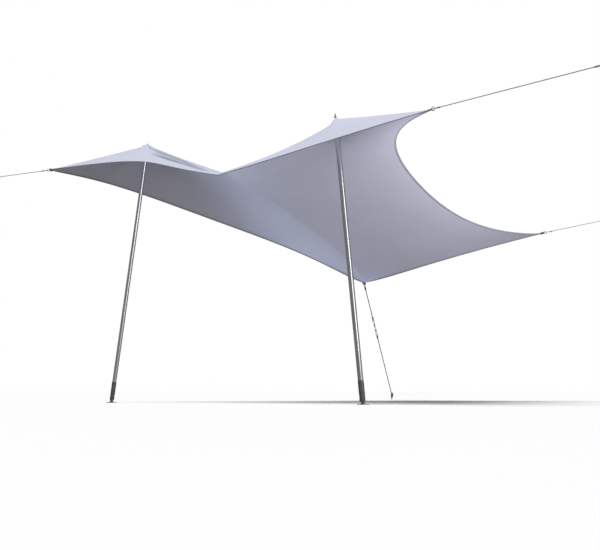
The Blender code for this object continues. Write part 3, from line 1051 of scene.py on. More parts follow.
@dataclass
class SheetShape:
    """The form of the stretched sheet: its held edges, valley and peaks, and the net between."""

    front_left: tuple = (-5.19, -0.83, 3.79)
    front_right: tuple = (1.34, -0.87, 3.58)
    rear_right: tuple = (1.83, 3.52, 2.83)
    rear_low: tuple = (-1.55, 3.76, 2.26)
    front_dip: tuple = (-1.90, -0.73, 3.25)
    peaks: tuple = ((-3.61, -0.27, 4.12), (-0.26, -0.24, 3.99))
    front_left_edge: tuple = ((-2.91, -0.60, 3.78), (-3.43, -0.71, 3.66))
    front_right_edge: tuple = ((-1.03, -0.66, 3.37), (-0.26, -0.82, 3.43))
    rear_left_edge: tuple = (
        (-4.63, -0.38, 3.65),
        (-3.90, 0.25, 3.68),
        (-3.22, 1.19, 2.75),
        (-2.46, 1.97, 3.15),
        (-1.92, 2.95, 2.39),
    )
    rear_right_edge: tuple = ((-0.84, 3.35, 2.24), (-0.03, 3.20, 2.47))
    right_edge: tuple = (
        (0.36, 0.27, 3.89),
        (-0.39, 0.61, 3.79),
        (0.66, 2.30, 3.47),
        (0.12, 1.94, 2.83),
        (1.36, 3.06, 2.74),
    )
    valley: tuple = (
        (-2.43, 0.15, 3.82),
        (-1.73, 1.07, 3.01),
        (-1.79, 1.92, 3.05),
        (-1.17, 2.86, 2.40),
    )
    left_cells: int = 12
    right_cells: int = 13
    deep_cells: int = 14
    ridge_cell: int = 1
    peak_cells: tuple[int, int] = (6, 19)
    corner_cut: float = 0.06
    cap_width: float = 0.05
    cap_slopes: tuple[float, float] = (0.20, 1.30)
    cap_tilts: tuple[float, float] = (-0.10, 0.60)
    right_pull: float = 2.0
    fan_least: float = 0.08
    ridge_tension: tuple = (400.0, 80.0, 9.0, 60.0)
    coarse_steps: int = 4
    fine_steps: int = 8
    coarse_rounds: int = 1200
    fine_rounds: int = 260
    swing: float = 1.9

    def edge(self, start: tuple, handles: tuple, stop: tuple, count: int) -> np.ndarray:
        """count + 1 points, the same distance apart, on the curve between two ends.

        Args:
            start: The first end.
            handles: The curve's two inner control points.
            stop: The other end.
            count: How many steps there are.

        Returns:
            The points, [count + 1, 3].
        """
        line = [np.array(point) for point in (start, *handles, stop)]
        t = np.linspace(0, 1, 401)[:, None]
        while len(line) > 1:
            line = [(1 - t) * a + t * b for a, b in zip(line, line[1:])]
        return spaced(line[0], np.linspace(0, run_of(line[0])[-1], count + 1))

    def held_net(self, steps: int) -> tuple[np.ndarray, np.ndarray]:
        """The net with its held points in place.

        Args:
            steps: How many steps each cell has.

        Returns:
            The net, and which of its points are held.
        """
        left = self.left_cells * steps
        across = left + self.right_cells * steps
        deep = self.deep_cells * steps
        ridge = self.ridge_cell * steps
        front_left = self.edge(self.front_left, self.front_left_edge, self.front_dip, left)
        front_right = self.edge(
            self.front_dip, self.front_right_edge, self.front_right, across - left
        )
        rear_left = self.edge(self.front_left, self.rear_left_edge, self.rear_low, left)
        rear_right = self.edge(
            self.rear_low, self.rear_right_edge, self.rear_right, across - left
        )
        right = self.edge(self.front_right, self.right_edge, self.rear_right, deep - ridge)
        front = np.concatenate([front_left, front_right[1:]])[:, None]
        rear = np.concatenate([rear_left, rear_right[1:]])[:, None]
        share = np.linspace(0, 1, deep + 1)[None, :, None]
        net = front * (1 - share) + rear * share
        self.cut(net[0], front_left, rear_left)
        self.cut(net[across, : ridge + 1], front_right[::-1], right)
        net[across, ridge + 1 :] = right[1:]
        net[left] = self.edge(self.front_dip, self.valley, self.rear_low, deep)
        held = np.zeros(net.shape[:2], bool)
        held[[0, left, across]] = True
        held[:, [0, deep]] = True
        reach = steps // self.coarse_steps
        caps = zip(self.peaks, self.peak_cells, self.cap_slopes, self.cap_tilts)
        for peak, cell, slope, tilt in caps:
            for i in range(-reach, reach + 1):
                for j in range(-reach, reach + 1):
                    spot = np.array((i, j, tilt * i - slope * math.hypot(i, j)))
                    net[cell * steps + i, ridge + j] = peak + spot * self.cap_width / reach
                    held[cell * steps + i, ridge + j] = True
        return net, held

    def cut(self, column: np.ndarray, one: np.ndarray, two: np.ndarray) -> None:
        """Ends a column of the net on a short straight cut between two edges."""
        first, last = (spaced(edge, np.array([self.corner_cut]))[0] for edge in (one, two))
        column[:] = np.linspace(first, last, len(column))

    def pulls(self, steps: int) -> tuple[np.ndarray, np.ndarray]:
        """How hard the net pulls across and deep, link by link.

        Args:
            steps: How many links of the fine net one cell has.

        Returns:
            The pull of each link across, and of each link deep.
        """
        left = self.left_cells * steps
        across = left + self.right_cells * steps
        deep = self.deep_cells * steps
        ridge = self.ridge_cell * steps
        fan = np.clip(np.arange(across + 1) / left, self.fan_least, 1.0)
        fan[left + 1 :] = self.right_pull
        pull_deep = np.repeat(1.0 / fan[:, None], deep, axis=1)
        pull_across = np.repeat((fan[:-1, None] + fan[1:, None]) / 2, deep + 1, axis=1)
        stops = [0, self.peak_cells[0] * steps, left, self.peak_cells[1] * steps, across]
        for start, stop, tension in zip(stops, stops[1:], self.ridge_tension):
            pull_across[start:stop, ridge] += tension * steps
        return pull_across, pull_deep

    def relax(self, net: np.ndarray, held: np.ndarray, steps: int, rounds: int) -> None:
        """Moves the free points until each is the weighted mean of its four neighbours.

        Args:
            net: The net, which is changed.
            held: True for each point that stays.
            steps: How many links one cell has.
            rounds: How often the points are moved.
        """
        pull_across, pull_deep = self.pulls(steps)
        left, right = pull_across[:-1, 1:-1, None], pull_across[1:, 1:-1, None]
        front, rear = pull_deep[1:-1, :-1, None], pull_deep[1:-1, 1:, None]
        total = left + right + front + rear
        inner = net[1:-1, 1:-1]
        free = ~held[1:-1, 1:-1]
        chequer = np.indices(free.shape).sum(axis=0) % 2
        for _ in range(rounds):
            for square in (0, 1):
                move = free & (chequer == square)
                mean = left * net[:-2, 1:-1] + right * net[2:, 1:-1]
                mean += front * net[1:-1, :-2] + rear * net[1:-1, 2:]
                inner[move] += self.swing * (mean / total - inner)[move]

    def net(self) -> np.ndarray:
        """The relaxed net of the sheet's middle: [across, deep, xyz].

        Returns:
            The points of the net.
        """
        coarse, held = self.held_net(self.coarse_steps)
        self.relax(coarse, held, self.coarse_steps, self.coarse_rounds)
        fine, held = self.held_net(self.fine_steps)
        ratio = self.fine_steps // self.coarse_steps
        guess = coarse
        for axis in (0, 1):
            count = guess.shape[axis]
            places = np.arange((count - 1) * ratio + 1) / ratio
            guess = along_axis(guess, places, axis)
        fine[~held] = guess[~held]
        self.relax(fine, held, self.fine_steps, self.fine_rounds)
        return fine


def along_axis(net: np.ndarray, places: np.ndarray, axis: int) -> np.ndarray:
    """The net at fractional places along one of its axes, on a smooth curve through its points.

    Args:
        net: The net.
        places: The places along the axis, in cells.
        axis: The axis, 0 or 1.

    Returns:
        The net with those places in the axis's stead.
    """
    net = np.moveaxis(net, axis, 0)
    last = len(net) - 1
    base = np.clip(places.astype(int), 0, last - 1)
    t = (places - base)[:, None, None]
    p0, p1 = net[np.maximum(base - 1, 0)], net[base]
    p2, p3 = net[base + 1], net[np.minimum(base + 2, last)]
    slope1, slope2 = (p2 - p0) / 2, (p3 - p1) / 2
    made = (2 * t**3 - 3 * t**2 + 1) * p1 + (t**3 - 2 * t**2 + t) * slope1
    made += (3 * t**2 - 2 * t**3) * p2 + (t**3 - t**2) * slope2
    return np.moveaxis(made, 0, axis)


@dataclass(frozen=True)
class Ball:
    """A mast head's ball under the sheet."""

    centre: tuple[float, float, float]
    radius: float


@dataclass
class Canopy:
    """The sheet itself, as one closed cloth with its pleats, tension folds and rounded peaks."""

    shape: SheetShape
    balls: Sequence[Ball]
    thickness: float = 0.003
    front_rows: int = 10
    front_split: int = 6
    flat: tuple[float, float] = (6.6, 4.7)
    corner_fold: float = 0.0022
    corner_reach: float = 0.55
    peak_fold: float = 0.003
    peak_reach: float = 0.22
    fold_step: float = 0.005
    folds: Sequence[Fold] = (
        Fold(((6.5, 0.92), (7.4, 0.86), (8.9, 0.86), (10.0, 0.77), (11.0, 0.68)), 0.038, -0.055),
        Fold(((6.9, 0.62), (8.2, 0.60), (9.4, 0.63), (10.3, 0.57), (11.0, 0.48)), 0.036, -0.045),
        Fold(((6.7, 0.76), (8.0, 0.73), (9.2, 0.74), (10.2, 0.67), (10.9, 0.58)), 0.03, 0.02),
    )
    net: np.ndarray = field(init=False)
    cells: np.ndarray = field(init=False)
    crease: np.ndarray = field(init=False)

    def __post_init__(self) -> None:
        """Works out the net, finer near the front edge, lays its folds and notes their grooves for
        painted shade.
        """
        net = self.shape.net()
        across, deep = (count - 1 for count in net.shape[:2])
        split = np.arange(self.front_rows * self.front_split) / self.front_split
        rows = np.concatenate([split, np.arange(self.front_rows, deep + 1)])
        self.net = along_axis(net, rows, 1)
        columns = np.arange(across + 1) / self.shape.fine_steps
        self.cells = np.stack(
            np.meshgrid(columns, rows / self.shape.fine_steps, indexing="ij"), axis=-1
        )
        self.plain = self.net.copy()
        normals = self.normals()
        lift = self.corner_lift() + self.peak_lift()
        # How deep each point lies in a groove, kept for the painted shade in the grooves.
        self.crease = np.zeros(self.net.shape[:2])
        for fold in self.folds:
            laid = self.fold_lift(fold)
            lift = lift + laid
            self.crease = np.maximum(self.crease, np.clip(-laid, 0, None) / abs(fold.height))
        self.net = self.net + lift[..., None] * normals
        self.rest_on_balls()

    def normals(self) -> np.ndarray:
        """The unit normal at each point of the net, up.

        Returns:
            A unit vector for each point.
        """
        across = np.gradient(self.net, axis=0)
        deep = np.gradient(self.net, axis=1)
        made = units(np.cross(across, deep))
        return made * np.where(made[..., 2:] < 0, -1.0, 1.0)

    def place_of(self, cell: tuple[float, float]) -> np.ndarray:
        """The point of the sheet at this many cells across and deep.

        Args:
            cell: Cells across and cells deep.

        Returns:
            The point.
        """
        column = along_axis(self.net, np.array([cell[0] * self.shape.fine_steps]), 0)[0]
        rows = self.cells[0, :, 1]
        return np.array([np.interp(cell[1], rows, column[:, axis]) for axis in range(3)])

    def fold_lift(self, fold: Fold) -> np.ndarray:
        """How far a pleat lifts each point of the net.

        Args:
            fold: The pleat.

        Returns:
            The lift of each point along its normal, in metres.
        """
        line = np.array([self.place_of(cell) for cell in fold.line])
        length = run_of(line)[-1]
        fine = spaced(line, np.linspace(0, length, int(length / self.fold_step)))
        near = np.full(self.net.shape[:2], 9.0)
        share = np.zeros(self.net.shape[:2])
        for k, point in enumerate(fine):
            distance = np.linalg.norm(self.net - point, axis=-1)
            closer = distance < near
            near[closer] = distance[closer]
            share[closer] = k / (len(fine) - 1)
        fade = np.sin(np.clip(share, 0.02, 0.98) * math.pi) ** 0.35
        return fold.height * fade * np.exp(-((near / fold.width) ** 2))

    def corner_lift(self) -> np.ndarray:
        """Fine folds that fan out from each corner of the sheet.

        Returns:
            The lift of each point along its normal, in metres.
        """
        shape = self.shape
        lift = np.zeros(self.net.shape[:2])
        for corner, count in (
            (shape.front_left, 5),
            (shape.front_right, 6),
            (shape.rear_right, 7),
            (shape.rear_low, 9),
        ):
            arm = self.net - np.array(corner)
            distance = np.linalg.norm(arm, axis=-1)
            heading = np.arctan2(arm[..., 1], arm[..., 0])
            middle = heading[distance < self.corner_reach].mean()
            waves = np.sin((heading - middle) * count * 2.0 + count)
            grow = np.clip(distance / 0.2, 0, 1)
            lift += self.corner_fold * waves * grow * np.exp(-((distance / self.corner_reach) ** 2))
        return lift

    def peak_lift(self) -> np.ndarray:
        """Fine folds that fan out from each mast head.

        Returns:
            The lift of each point along its normal, in metres.
        """
        lift = np.zeros(self.net.shape[:2])
        for peak, count in zip(self.shape.peaks, (7, 8)):
            arm = self.net - np.array(peak)
            distance = np.linalg.norm(arm, axis=-1)
            waves = np.sin(np.arctan2(arm[..., 1], arm[..., 0]) * count)
            grow = np.clip((distance - 0.06) / 0.08, 0, 1)
            lift += self.peak_fold * waves * grow * np.exp(-((distance / self.peak_reach) ** 2))
        return lift

    def rest_on_balls(self) -> None:
        """Lifts the sheet where it would run through a mast head's ball."""
        for ball in self.balls:
            arm = self.net - np.array(ball.centre)
            distance = np.linalg.norm(arm, axis=-1)
            clear = ball.radius + self.thickness / 2 + 0.0004
            push = np.clip(clear - distance, 0, None)
            self.net = self.net + units(arm) * push[..., None]

    def pattern(self) -> np.ndarray:
        """Each point's place in the cloth, in metres along and across its threads.

        Returns:
            The two lengths for each point.
        """
        across = np.linalg.norm(np.diff(self.net, axis=0), axis=-1)
        deep = np.linalg.norm(np.diff(self.net, axis=1), axis=-1)
        u = np.concatenate([np.zeros((1, self.net.shape[1])), np.cumsum(across, axis=0)])
        v = np.concatenate([np.zeros((self.net.shape[0], 1)), np.cumsum(deep, axis=1)], axis=1)
        return np.stack([u, v], axis=-1)

    def area(self) -> float:
        """The sheet's area in square metres.

        Returns:
            The area.
        """
        a = self.net[1:, :-1] - self.net[:-1, :-1]
        b = self.net[1:, 1:] - self.net[:-1, :-1]
        c = self.net[:-1, 1:] - self.net[:-1, :-1]
        halves = np.linalg.norm(np.cross(a, b), axis=-1) + np.linalg.norm(np.cross(b, c), axis=-1)
        return float(halves.sum() / 2)

    def build(self, hems: Sequence[bpy.types.Object]) -> bpy.types.Object:
        """Args:
            hems: The finished hems that are sewn to it; not used.

        Returns:
            The finished sheet.
        """
        piece = Piece("canopy", StretchKnit())
        lift = self.normals() * self.thickness / 2
        upper, lower = self.net + lift, self.net - lift
        uv = self.pattern()
        piece.add_grid(upper, uv, crease=self.crease)
        piece.add_grid(lower, uv)
        for rim in ((0, slice(None)), (-1, slice(None)), (slice(None), 0), (slice(None), -1)):
            strip = np.stack([upper[rim], lower[rim]])
            piece.add_grid(strip, np.stack([uv[rim], uv[rim]]))
        made = piece.finished(["canopy_sheet"], sharp=60.0)
        self.area()
        return made


@dataclass
class Hem:
    """A folded edge of the sheet with a cord in it and a row of stitches on both faces."""

    name: str
    edge: np.ndarray
    inner: np.ndarray
    stitches: StitchRow
    under: PaintedShadeTape
    cord_radius: float = 0.0078
    cord_at: float = 0.0086
    band: float = 0.026
    tape: float = 0.017
    band_height: float = 0.0031
    taper: float = 0.40
    narrowest: float = 0.12
    stitch_at: float = 0.014
    stitch_pitch: float = 0.012
    stitch_length: float = 0.0075
    stitch_radius: float = 0.0006
    clear: float = 0.02
    row_end: int = 8

    def build(self) -> bpy.types.Object:
        """Makes the hem: its sections along the edge, its ends and its stitches.

        Returns:
            The finished hem.
        """
        run = run_of(self.edge)
        at = np.linspace(self.clear, run[-1] - self.clear, max(60, int(run[-1] / 0.025)))
        line = spaced(self.edge, at)
        inner = np.stack([np.interp(at, run, self.inner[:, axis]) for axis in range(3)], axis=1)
        along = units(np.gradient(line, axis=0))
        out = line - inner
        out = units(out - (out * along).sum(axis=1)[:, None] * along)
        normal = np.cross(along, out)
        normal *= np.where(normal[:, 2:] < 0, -1.0, 1.0)
        ends = np.minimum(at, run[-1] - at)
        full = np.clip((ends - 2 * self.clear) / self.taper, 0, 1)
        share = self.narrowest + (1 - self.narrowest) * full
        piece = Piece(self.name, HemBinding())
        for outline, finish in ((self.upper(), None), (self.lower(), self.under)):
            points = np.zeros((len(line), len(outline), 3))
            for k, (x, y) in enumerate(outline):
                reach = x * share if x < 0 else np.full(len(line), x)
                points[:, k] = line + out * reach[:, None] + normal * y
            across = run_of(np.array([(x, y, 0.0) for x, y in outline]))
            pattern = np.stack(np.meshgrid(at, across, indexing="ij"), axis=-1)
            piece.add_grid(points, pattern, finish)
            for end in (0, -1):
                self.close_end(piece, points[end], finish)
        for side in (1.0, -1.0):
            row = line - out * (self.stitch_at * share)[:, None]
            row = row + normal * side * (self.band_height + self.stitch_radius * 0.4)
            sizes = {
                "Pitch": self.stitch_pitch,
                "Thread_Radius": self.stitch_radius,
                "Thread_Length": self.stitch_length,
            }
            threads = self.stitches.mesh(row[self.row_end : -self.row_end], Thread(), **sizes)
            piece.add_mesh(threads, Thread())
        return piece.finished([self.name], sharp=50.0)

    def upper(self) -> list[tuple[float, float]]:
        """The fold's section, out from the sheet's edge and up: its band and half of the cord.

        Returns:
            The section's points.
        """
        high = self.band_height
        band = [(-self.band, 0.0017), (-self.band + 0.001, high), (-0.012, high), (-0.003, high)]
        cord = arc((self.cord_at, 0.0), self.cord_radius + 0.0008, 140.0, -10.0, 9)
        return band + cord + [(self.cord_at, 0.0002), (-self.band, 0.0002), band[0]]

    def lower(self) -> list[tuple[float, float]]:
        """The tape's section: from the cord's far side round below it to the sheet's underside.

        Returns:
            The section's points.
        """
        high = -self.band_height
        band = [(-0.003, high), (-0.012, high), (-self.tape + 0.001, high), (-self.tape, -0.0017)]
        cord = arc((self.cord_at, 0.0), self.cord_radius + 0.0012, -5.0, -140.0, 9)
        return cord + band + [(-self.tape, -0.0002), (self.cord_at, -0.0002), cord[0]]

    def close_end(self, piece: Piece, ring: np.ndarray, finish: Finish | None) -> None:
        """Closes one end of a section with a fan of faces."""
        middle = np.repeat(ring.mean(axis=0)[None], len(ring), axis=0)
        piece.add_grid(np.stack([ring, middle]), np.zeros((2, len(ring), 2)), finish)


def solid_points(node: str) -> np.ndarray:
    """The points of one of the frame's solids.

    Args:
        node: The name of the solid.

    Returns:
        Its points, [count, 3].
    """
    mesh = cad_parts[node].data
    flat = np.zeros(len(mesh.vertices) * 3, np.float32)
    mesh.vertices.foreach_get("co", flat)
    return flat.reshape(-1, 3).astype(float)


def bar_ends(node: str) -> tuple[np.ndarray, np.ndarray]:
    """The middles of the two ends of a straight bar.

    Args:
        node: The name of the bar's solid.

    Returns:
        The two middles.
    """
    points = solid_points(node)
    centre = points.mean(axis=0)
    along = np.linalg.svd(points - centre, full_matrices=False)[2][0]
    reach = (points - centre) @ along
    low = points[reach < reach.min() + 1e-3].mean(axis=0)
    high = points[reach > reach.max() - 1e-3].mean(axis=0)
    return low, high


def oval(
    centre: np.ndarray, along: np.ndarray, across: np.ndarray, length: float, width: float
) -> np.ndarray:
    """The middle line of a rounded link.

    Args:
        centre: The link's middle.
        along: The direction of its length.
        across: The direction of its width.
        length: Its length.
        width: Its width.

    Returns:
        The points of the closed line.
    """
    along = unit(along)
    across = unit(across - np.dot(across, along) * along)
    turn = 2 * math.pi * (np.arange(40) + 0.5) / 40
    reach = np.cos(turn) * width / 2 + np.sign(np.cos(turn)) * (length - width) / 2
    return centre + reach[:, None] * along + (np.sin(turn) * width / 2)[:, None] * across


@dataclass
class Bolt:
    """A hexagon head on a washer, as seen from one side of a plate."""

    head: float = 0.0075
    head_height: float = 0.0045
    washer: float = 0.0088
    washer_height: float = 0.0012

    def add(self, piece: Piece, spot: np.ndarray, out: np.ndarray) -> None:
        """Adds the bolt to a piece, standing on a face whose outward normal is out.

        Args:
            piece: The piece.
            spot: The middle of the bolt's foot.
            out: The face's outward normal.
        """
        washer = [(0.0, -0.0005), (self.washer, -0.0005), (self.washer, self.washer_height)]
        piece.add_turned(washer + [(0.0, self.washer_height)], spot, out, 20)
        top = self.washer_height + self.head_height
        crown = [(self.head, top - 0.0008), (self.head - 0.001, top), (0.0, top)]
        piece.add_turned([(0.0, 0.0005), (self.head, 0.0005)] + crown, spot, out, 6)


@dataclass
class CornerClamp:
    """Two bolted plates on a corner of the sheet, and the ring that its guy pulls on."""

    corner: str
    long: float = 0.060
    wide: float = 0.070
    grip: float = 0.030
    plate: float = 0.0032
    spacer: float = 0.0030
    hole: float = 0.010
    web: float = 0.010
    ring_radius: float = 0.024
    ring_bar: float = 0.004
    weld: float = 0.0048

    def build(self) -> None:
        """Makes the clamp and its ring."""
        clamp_node = f"corner_{self.corner}_clamp"
        ring_node = f"corner_{self.corner}_ring"
        clamp, ring = solid_points(clamp_node), solid_points(ring_node)
        flat = np.linalg.svd(clamp - clamp.mean(axis=0), full_matrices=False)[2]
        normal = flat[2] * (1.0 if flat[2][2] >= 0 else -1.0)
        out = unit(ring.mean(axis=0) - clamp.mean(axis=0))
        out = unit(out - np.dot(out, normal) * normal)
        side = np.cross(normal, out)
        reach = (clamp - clamp.mean(axis=0)) @ out
        start = clamp.mean(axis=0) + out * reach.min()
        piece = Piece(f"{self.corner}_clamp", ZincFitting())
        turn = Matrix(np.stack([out, side, normal]).T.tolist()).to_4x4()
        for level in (1.0, -1.0):
            spot = start + normal * level * (self.plate + self.spacer) / 2
            place = Matrix.Translation(Vector(spot)) @ turn
            piece.add_plate([self.outline(), self.eye()], self.plate, place)
        tongue = Matrix.Translation(Vector(start)) @ turn
        piece.add_plate([self.tongue(), self.eye()], self.spacer, tongue, bevel=0.0003)
        bolt = Bolt()
        face = self.spacer / 2 + self.plate
        for along, across in ((-0.016, 0.0), (0.012, 0.022), (0.012, -0.022)):
            spot = start + out * along + side * across
            for level in (1.0, -1.0):
                bolt.add(piece, spot + normal * level * face, normal * level)
        piece.finished([clamp_node])
        self.build_ring(ring, ring_node, out, normal)

    def outline(self) -> list[tuple[float, float]]:
        """The plates' outline: narrow where they grip the sheet, wide, then nosed.

        Returns:
            The outline's points, along the clamp and across it.
        """
        half = self.wide / 2
        right = [
            (-self.grip, 0.30 * half),
            (0.004, half),
            (self.long - 0.015, half),
            (self.long, half / 2),
        ]
        corners = right + [(x, -y) for x, y in reversed(right)]
        closed = [corners[-1]] + corners + [corners[0]]
        return rounded(closed, 0.006)[1:-1]

    def tongue(self) -> list[tuple[float, float]]:
        """The outline of the spacer between the plates, beyond the sheet.

        Returns:
            The outline's points, along the clamp and across it.
        """
        half = self.wide / 2 - 0.003
        right = [(0.001, half), (self.long - 0.017, half), (self.long - 0.002, half / 2)]
        return right + [(x, -y) for x, y in reversed(right)]

    def eye(self) -> list[tuple[float, float]]:
        """The hole that the ring goes through."""
        middle = self.long - self.web - self.hole
        return arc((middle, 0.0), self.hole, 0.0, 350.0, 35)

    def build_ring(
        self, solid: np.ndarray, node: str, out: np.ndarray, normal: np.ndarray
    ) -> None:
        """Makes the ring, with the bead of its weld.

        Args:
            solid: The points of the ring's solid.
            node: The name of that solid.
            out: The direction that the clamp points in.
            normal: The sheet's normal at the corner.
        """
        centre = (solid.max(axis=0) + solid.min(axis=0)) / 2
        if np.linalg.norm(centre - solid.mean(axis=0)) > 0.01:
            centre = solid.mean(axis=0)
        piece = Piece(f"{self.corner}_ring", ZincFitting())
        line = oval(centre, out, normal, 2 * self.ring_radius, 2 * self.ring_radius)
        piece.add_tube(line, self.ring_bar, 14, closed=True)
        side = unit(line[10] - centre)
        bead = centre + side * self.ring_radius
        along = np.cross(side, np.cross(out, normal))
        profile = arc((0.0, 0.0), self.weld, -90.0, 90.0, 8)
        piece.add_turned([(abs(r), h * 0.6) for r, h in profile], bead, along, 16)
        piece.finished([node])


@dataclass
class Guy:
    """A taut laid rope with an eye seized round the fitting at either end."""

    node: str
    lay: RopeLay
    start_bar: float | None
    stop_bar: float | None
    radius: float = 0.006
    finish: LaidRope = PALE_ROPE
    eye_length: float = 0.062
    seizing: float = 0.055
    seizing_cord: float = 0.0022
    strands: int = 3

    def build(self, toward: np.ndarray) -> None:
        """Makes the rope.

        Args:
            toward: A point beyond the end that the rope runs to.
        """
        ends = bar_ends(self.node)
        first, last = sorted(ends, key=lambda end: -np.linalg.norm(end - toward))
        along = unit(last - first)
        piece = Piece(self.node, self.finish)
        start = first + along * (self.eye_length * 0.7 if self.start_bar else 0.0)
        stop = last - along * (self.eye_length * 0.7 if self.stop_bar else 0.0)
        self.add_rope(piece, np.linspace(start, stop, 24))
        if self.start_bar:
            self.add_eye(piece, first, along, self.start_bar)
        if self.stop_bar:
            self.add_eye(piece, last, -along, self.stop_bar)
        piece.finished([self.node], sharp=70.0)

    def add_rope(self, piece: Piece, line: np.ndarray) -> None:
        """Lays the strands along a line.

        Args:
            piece: The piece that the rope belongs to.
            line: The rope's middle line.
        """
        strand = self.radius * 0.50
        sizes = {
            "Strands": self.strands,
            "Strand_Radius": strand,
            "Middle_Radius": self.radius - strand,
            "Lay": self.radius * 7.0,
            "Step": self.radius * 0.9,
        }
        piece.add_mesh(self.lay.mesh(line, self.finish, **sizes))

    def add_eye(self, piece: Piece, end: np.ndarray, along: np.ndarray, bar: float) -> None:
        """Adds the eye round a fitting's bar, and the seizing that closes it.

        Args:
            piece: The rope's piece.
            end: The end of the rope's solid, beside the bar.
            along: The way from the fitting into the rope.
            bar: The radius of the fitting's bar.
        """
        thin = self.radius * 0.62
        back = 2 * bar + thin + 0.001
        length = self.eye_length + back
        centre = end + along * (self.eye_length - back) / 2
        side = axes_along(along, (0.0, 0.0, 1.0))[1]
        loop = oval(centre, along, side, length - thin, self.radius * 2.6)
        piece.add_tube(loop, thin, 10, closed=True)
        wound = end + along * self.eye_length * 0.62
        coil = np.linspace(wound, wound + along * self.seizing, 60)
        sizes = {
            "Strands": 1,
            "Strand_Radius": self.seizing_cord,
            "Middle_Radius": self.radius * 1.35,
            "Lay": self.seizing_cord * 2.02,
            "Step": self.seizing_cord * 0.16,
        }
        piece.add_mesh(self.lay.mesh(coil, self.finish, **sizes))


@dataclass
class EndLink:
    """The long link at the far end of a guy."""

    node: str
    bar: float = 0.004
    length: float = 0.090
    width: float = 0.045

    def build(self, along: np.ndarray) -> None:
        """Makes the link along its guy.

        Args:
            along: The direction of the guy, away from the tent.
        """
        points = solid_points(self.node)
        centre = (points @ along).max() + (points @ along).min()
        middle = points.mean(axis=0)
        middle = middle + along * (centre / 2 - np.dot(middle, along))
        piece = Piece(self.node, ZincFitting())
        up = np.array((0.0, 0.0, 1.0))
        piece.add_tube(oval(middle, along, up, self.length, self.width), self.bar, 14, closed=True)
        piece.finished([self.node])


@dataclass
class Turnbuckle:
    """A frame turnbuckle: two threaded eyes, two side bars and a lock nut at either end."""

    body: str = "turnbuckle_body"
    eyes: tuple[str, str] = ("turnbuckle_upper_eye", "turnbuckle_lower_eye")
    half: float = 0.130
    frame_half: float = 0.088
    collar: float = 0.0135
    collar_length: float = 0.030
    bar_radius: float = 0.0042
    bar_at: float = 0.0105
    rod: float = 0.0055
    thread: float = 0.0018
    nut: float = 0.0115
    nut_height: float = 0.008
    eye_length: float = 0.060
    eye_width: float = 0.034
    eye_bar: float = 0.0044

    def build(self) -> None:
        """Makes the frame and its two eyes."""
        low, high = (solid_points(node).mean(axis=0) for node in self.eyes)
        along = unit(high - low)
        middle = (low + high) / 2
        side = axes_along(along, (0.0, 0.0, 1.0))[1]
        piece = Piece("turnbuckle_frame", ZincFitting())
        for sign in (-1.0, 1.0):
            start = middle + along * sign * self.frame_half
            piece.add_turned(self.collar_profile(), start, along * sign)
            nut = start + along * sign * (self.collar_length / 2 + 0.004)
            piece.add_turned(self.nut_profile(), nut, along * sign, 6)
            rod = start - along * sign * 0.045
            threads = self.thread_profile(self.half - self.frame_half + 0.045)
            piece.add_turned(threads, rod, along * sign, 20)
            bar = np.linspace(
                middle - along * self.frame_half + side * sign * self.bar_at,
                middle + along * self.frame_half + side * sign * self.bar_at,
                12,
            )
            piece.add_tube(bar, self.bar_radius, 14)
        piece.finished([self.body])
        for node, centre in zip(self.eyes, (low, high)):
            eye = Piece(f"{node}_bent", ZincFitting())
            line = oval(centre, along, side, self.eye_length, self.eye_width)
            eye.add_tube(line, self.eye_bar, 14, closed=True)
            eye.finished([node])

    def collar_profile(self) -> list[tuple[float, float]]:
        """The end of the frame, where the rod goes in.

        Returns:
            The profile's points, as radius and height.
        """
        half = self.collar_length / 2
        corners = [(0.0, -half), (self.collar, -half), (self.collar, half), (0.0, half)]
        return rounded(corners, 0.004)

    def nut_profile(self) -> list[tuple[float, float]]:
        """The lock nut, chamfered on its outer face."""
        top = self.nut_height
        rim = [(self.nut, 0.0), (self.nut, top - 0.001), (self.nut - 0.0015, top)]
        return [(0.0, 0.0), *rim, (0.0, top)]

    def thread_profile(self, length: float) -> list[tuple[float, float]]:
        """The rod's threads, as ridges along it.

        Args:
            length: How far the threads run.

        Returns:
            The profile's points, as radius and height.
        """
        count = int(length / self.thread)
        ridges = [(0.0, 0.0)]
        for k in range(count):
            ridges.append((self.rod - 0.0007, k * self.thread))
            ridges.append((self.rod, (k + 0.5) * self.thread))
        return ridges + [(self.rod - 0.0007, length), (0.0, length)]


